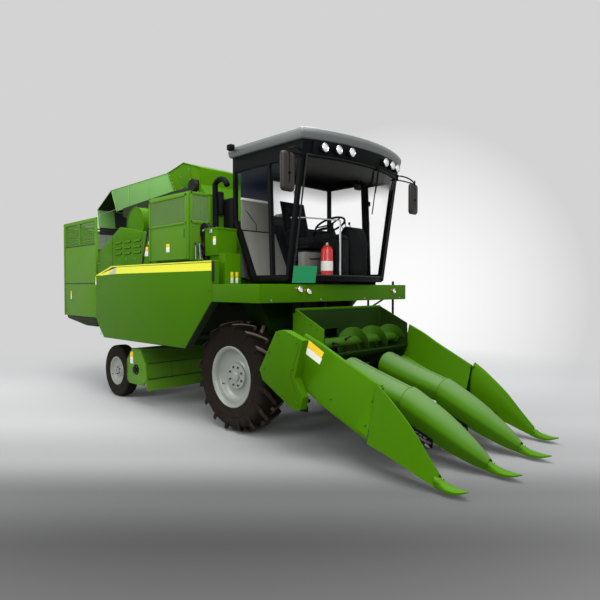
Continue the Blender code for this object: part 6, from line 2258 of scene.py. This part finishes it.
def under_edge(middle: Vector, normal: Vector) -> bool:
    """The skirt's folded edges where they face the ground, and its back."""
    return normal.z < -0.1 or abs(normal.y) > 0.9 and middle.y * normal.y < 0


def underbody(middle: Vector, normal: Vector) -> bool:
    """The housing's lower faces and its front, over the drive wheels."""
    return middle.z < 1.5 or normal.x > 0.5 and middle.x > -0.9


def throat(middle: Vector, normal: Vector) -> bool:
    """The elevator's foot, under the platform."""
    return middle.z < THROAT_TOP


def trough_inside(middle: Vector, normal: Vector) -> bool:
    """The trough's inner faces, its floor and its front lip."""
    inward = abs(middle.y) < 0.77 and (normal.x > 0.5 or abs(normal.y) > 0.7 and middle.y * normal.y < 0)
    return middle.z < TROUGH_TOP and (inward or normal.z > 0.5 and abs(middle.y) < 0.75)


CYLINDERS = ("header_cylinder_right", "header_cylinder_left", "bin_cylinder")
PANES = ("right_front_window", "right_rear_window", "left_rear_window", "rear_window", "cab_door_glass")
CARRIED = (
    Carried("husker_housing", GREEN, 0.006, shade=SHADED, shaded=underbody),
    *(Carried(f"side_skirt_{side.word}", GREEN, 0.008, 3, shade=SHADED, shaded=under_edge) for side in Side),
    Carried("air_screen_box", GREEN_UPPER, 0.008, 3),
    Carried("screen_door", GREEN_UPPER, 0.006),
    Carried("ear_elevator", GREEN, 0.006, shade=THROAT, shaded=throat, split=THROAT_TOP),
    Carried("discharge_hood", GREEN_PALE, 0.003, shade=SHADED, shaded=hood_inside),
    Carried("platform", GREEN, 0.008, 3),
    Carried("ear_bin", GREEN_UPPER, 0.005),
    Carried("bin_tailgate", GREEN_UPPER, 0.005),
    Carried("chopper_hood", GREEN_UPPER, 0.004),
    Carried("chain_cover", GREEN, 0.012, 3),
    Carried("header_trough", GREEN, 0.003, shade=THROAT, shaded=trough_inside, split=TROUGH_TOP),
    *(Carried(node, FRAME_GREEN, 0.005) for node in ("chassis_frame", "front_axle", "rear_axle_beam")),
    *(Carried(f"steering_knuckle_{side.word}", FRAME_GREEN, 0.004) for side in Side),
    Carried("cab_frame", BLACK, 0.005),
    Carried("cab_door", BLACK, 0.004),
    Carried("air_cleaner", BLACK, 0.004, smooth=45.0),
    Carried("ladder", BLACK, 0.003),
    Carried("engine_block", MACHINE, 0.01),
    Carried("row_units", BLACK, 0.003),
    *(Carried(f"{name}_barrel", BLACK, 0.002) for name in CYLINDERS),
)
PAINTED = (
    Painted("windscreen", SCREEN),
    *(Painted(node, PANE) for node in PANES),
    *(Painted(f"{name}_rod", CHROME) for name in CYLINDERS),
    Painted("chopper_rotor", WORN),
)
DRESS = (
    DRIVE_WHEEL,
    STEER_WHEEL,
    INNER_SNOUT,
    OUTER_SNOUT,
    Hoods(),
    Dividers(),
    Auger(),
    RowDress(),
    HeaderDress(),
    SkirtDress(),
    HousingDress(),
    ScreenDress(),
    ElevatorDress(),
    BinDress(),
    Roof(),
    Fascia(),
    FrontTrim(),
    Mirrors(),
    Column(),
    SeatBase(),
    Pad("seat_cushion", (-0.005, 0.385), (-0.22, 0.22), (2.135, 2.225)),
    Pad("seat_back_pad", (-0.075, 0.005), (-0.20, 0.20), (2.22, 2.55), 0.22),
    Pad("seat_headrest", (-0.145, -0.075), (-0.13, 0.13), (2.575, 2.72), 0.22),
    Interior(),
    PlatformDress(),
    ChopperDress(),
    EngineDress(),
)


@dataclass(frozen=True)
class Studio:
    """The camera, the lamps, the pale floor and the white surround."""

    eye: Point = (4.619, -4.667, 1.629)
    heading: float = 45.363
    tilt: float = 1.356
    focal_share: float = 515.25 / 600
    sensor: float = 36.0
    floor_half: float = 60.0
    floor_colour: str = "DCDCDC"
    surround: str = "D3D3D3"
    glow_colour: str = "FDFDFD"
    # Painted pools of light, where the surround glows white: beside the cab and, smaller, behind its glass. A
    # way and the cosines of its edge
    glows: tuple[tuple[Point, Pair], ...] = (
        ((-0.554, 0.832, -0.02), (0.948, 1.0)), ((-0.648, 0.751, 0.126), (0.9921, 0.9955)),
    )
    sky: float = 0.55
    fade: Pair = (2.5, 9.0)
    # How far along the view the floor's painted shade is set, darkest at the front, and the tone's stops: share
    # of that way, lightness
    reach: Pair = (-4.0, 2.0)
    tones: tuple[Pair, ...] = ((0.0, 0.02), (0.14, 0.165), (0.30, 0.50), (0.54, 0.75), (1.0, 1.0))

    def camera(self) -> None:
        """Place the camera at the photograph's angle."""
        lens = bpy.data.cameras.new("camera")
        lens.sensor_fit = "HORIZONTAL"
        lens.sensor_width = self.sensor
        lens.lens = self.sensor * self.focal_share
        lens.clip_end = 200.0
        holder = bpy.data.objects.new("camera", lens)
        heading, tilt = math.radians(self.heading), math.radians(self.tilt)
        ahead = Vector(
            (-math.cos(heading) * math.cos(tilt), math.sin(heading) * math.cos(tilt), -math.sin(tilt))
        )
        holder.location = Vector(self.eye) + Vector((AXLE_X, 0, 0))
        holder.rotation_euler = ahead.to_track_quat("-Z", "Y").to_euler()
        bpy.context.scene.collection.objects.link(holder)
        bpy.context.scene.camera = holder

    def lamp(self, name: str, at: Point, aim: Point, size: float, power: float) -> None:
        """Add a square soft lamp that looks at a point."""
        light = bpy.data.lights.new(name, "AREA")
        light.size = size
        light.energy = power
        holder = bpy.data.objects.new(name, light)
        holder.location = at
        holder.rotation_euler = (Vector(aim) - Vector(at)).to_track_quat("-Z", "Y").to_euler()
        bpy.context.scene.collection.objects.link(holder)

    def floor(self) -> None:
        """Lay the floor, which keeps the machine's shadow."""
        part = bmesh.new()
        bmesh.ops.create_grid(part, x_segments=1, y_segments=1, size=self.floor_half)
        mesh = bpy.data.meshes.new("studio_floor")
        part.to_mesh(mesh)
        part.free()
        mesh.materials.append(self.floor_paint())
        ground = bpy.data.objects.new("studio_floor", mesh)
        bpy.context.scene.collection.objects.link(ground)

    def floor_paint(self) -> bpy.types.Material:
        """Matt pale paint, with painted shade that darkens it towards the front, that melts into the surround
        far out.

        Returns:
            The floor's material.
        """
        material = bpy.data.materials.new("pale matt studio floor")
        material.use_nodes = True
        tree = material.node_tree
        shader = tree.nodes["Principled BSDF"]
        shader.inputs["Roughness"].default_value = 0.75
        shader.inputs["Specular IOR Level"].default_value = 0.2
        where = add_node(tree, "TexCoord").outputs["Object"]
        turn = math.radians(self.heading)
        reach = add_node(
            tree, "VectorMath", {"operation": "DOT_PRODUCT", ":1": (-math.cos(turn), math.sin(turn), 0.0)},
            {0: where},
        )
        way = add_node(
            tree, "MapRange", {":1": self.reach[0], ":2": self.reach[1]}, {0: reach.outputs["Value"]},
        )
        light = add_node(tree, "ValToRGB", None, {"Fac": way.outputs["Result"]})
        ramp = light.color_ramp
        ramp.interpolation = "EASE"
        while len(ramp.elements) < len(self.tones):
            ramp.elements.new(1.0)
        for stop, (share, value) in zip(ramp.elements, self.tones):
            stop.position = share
            stop.color = (value, value, value, 1.0)
        tone = add_node(
            tree, "HueSaturation", {":Color": linear(self.floor_colour)}, {"Value": light.outputs["Color"]},
        )
        tree.links.new(tone.outputs["Color"], shader.inputs["Base Color"])
        far = add_node(tree, "VectorMath", {"operation": "LENGTH"}, {0: where})
        melt = add_node(
            tree, "MapRange", {"interpolation_type": "SMOOTHSTEP", ":1": self.fade[0], ":2": self.fade[1]},
            {0: far.outputs["Value"]},
        )
        eye = Vector(self.eye) + Vector((AXLE_X, 0, 0))
        seen = add_node(tree, "VectorMath", {"operation": "SUBTRACT", ":1": eye}, {0: where})
        glow = add_node(tree, "Emission", None, {"Color": self.backdrop(tree, seen.outputs["Vector"])})
        mixed = add_node(
            tree, "MixShader", None,
            {0: melt.outputs["Result"], 1: shader.outputs["BSDF"], 2: glow.outputs["Emission"]},
        )
        tree.links.new(mixed.outputs["Shader"], tree.nodes["Material Output"].inputs["Surface"])
        return material

    def backdrop(self, tree: bpy.types.NodeTree, way: bpy.types.NodeSocket) -> bpy.types.NodeSocket:
        """The surround's colour in a direction: pale grey with its white glows, which are painted pools of
        light.

        Args:
            tree: the tree that gets the nodes.
            way: the direction, of any length.

        Returns:
            The colour's socket.
        """
        unit = add_node(tree, "VectorMath", {"operation": "NORMALIZE"}, {0: way})
        shares = []
        for towards, (edge, full) in self.glows:
            near = add_node(
                tree, "VectorMath", {"operation": "DOT_PRODUCT", ":1": towards}, {0: unit.outputs["Vector"]},
            )
            shares.append(
                add_node(
                    tree, "MapRange", {":1": edge, ":2": full}, {0: near.outputs["Value"]},
                ).outputs["Result"]
            )
        share = add_node(tree, "Math", {"operation": "MAXIMUM"}, dict(enumerate(shares)))
        mixed = add_node(
            tree, "Mix", {"data_type": "RGBA", ":6": linear(self.surround), ":7": linear(self.glow_colour)},
            {0: share.outputs["Value"]},
        )
        return mixed.outputs[2]

    def world(self) -> None:
        """Light the air evenly, and show a pale surround to the camera, to gloss and through glass."""
        world = bpy.data.worlds.new("studio")
        bpy.context.scene.world = world
        world.use_nodes = True
        tree = world.node_tree
        tree.nodes.clear()
        path = add_node(tree, "LightPath")
        seen = add_node(
            tree, "Math", {"operation": "MAXIMUM"},
            {0: path.outputs["Is Camera Ray"], 1: path.outputs["Is Glossy Ray"]},
        )
        shown = add_node(
            tree, "Math", {"operation": "MAXIMUM"},
            {0: seen.outputs["Value"], 1: path.outputs["Is Transmission Ray"]},
        )
        air = add_node(tree, "Background", {":Color": linear("F2F6FA"), ":Strength": self.sky})
        way = add_node(tree, "TexCoord").outputs["Generated"]
        pale = add_node(tree, "Background", {":Strength": 1.0}, {"Color": self.backdrop(tree, way)})
        mixed = add_node(
            tree, "MixShader", None,
            {0: shown.outputs["Value"], 1: air.outputs["Background"], 2: pale.outputs["Background"]},
        )
        add_node(tree, "OutputWorld", None, {"Surface": mixed.outputs["Shader"]})

    def build(self) -> None:
        """Set the whole studio."""
        self.camera()
        self.floor()
        self.world()
        self.lamp("overhead_softbox", (1.5, -1.5, 8.0), (0.0, 0.0, 1.0), 6.0, 580.0)
        self.lamp("front_softbox", (7.5, -5.0, 5.5), (0.5, 0.0, 1.2), 4.0, 260.0)
        self.lamp("side_softbox", (-3.0, -9.0, 5.0), (-1.0, 0.0, 1.5), 4.0, 240.0)
        bpy.context.scene.view_settings.view_transform = "Standard"


def main() -> None:
    """Build the machine's looks in order."""
    logging.basicConfig(level=logging.INFO, format="%(message)s")
    Studio().build()
    for piece in (*CARRIED, *PAINTED, *DRESS):
        piece.build()


if __name__ == "__main__":
    main()
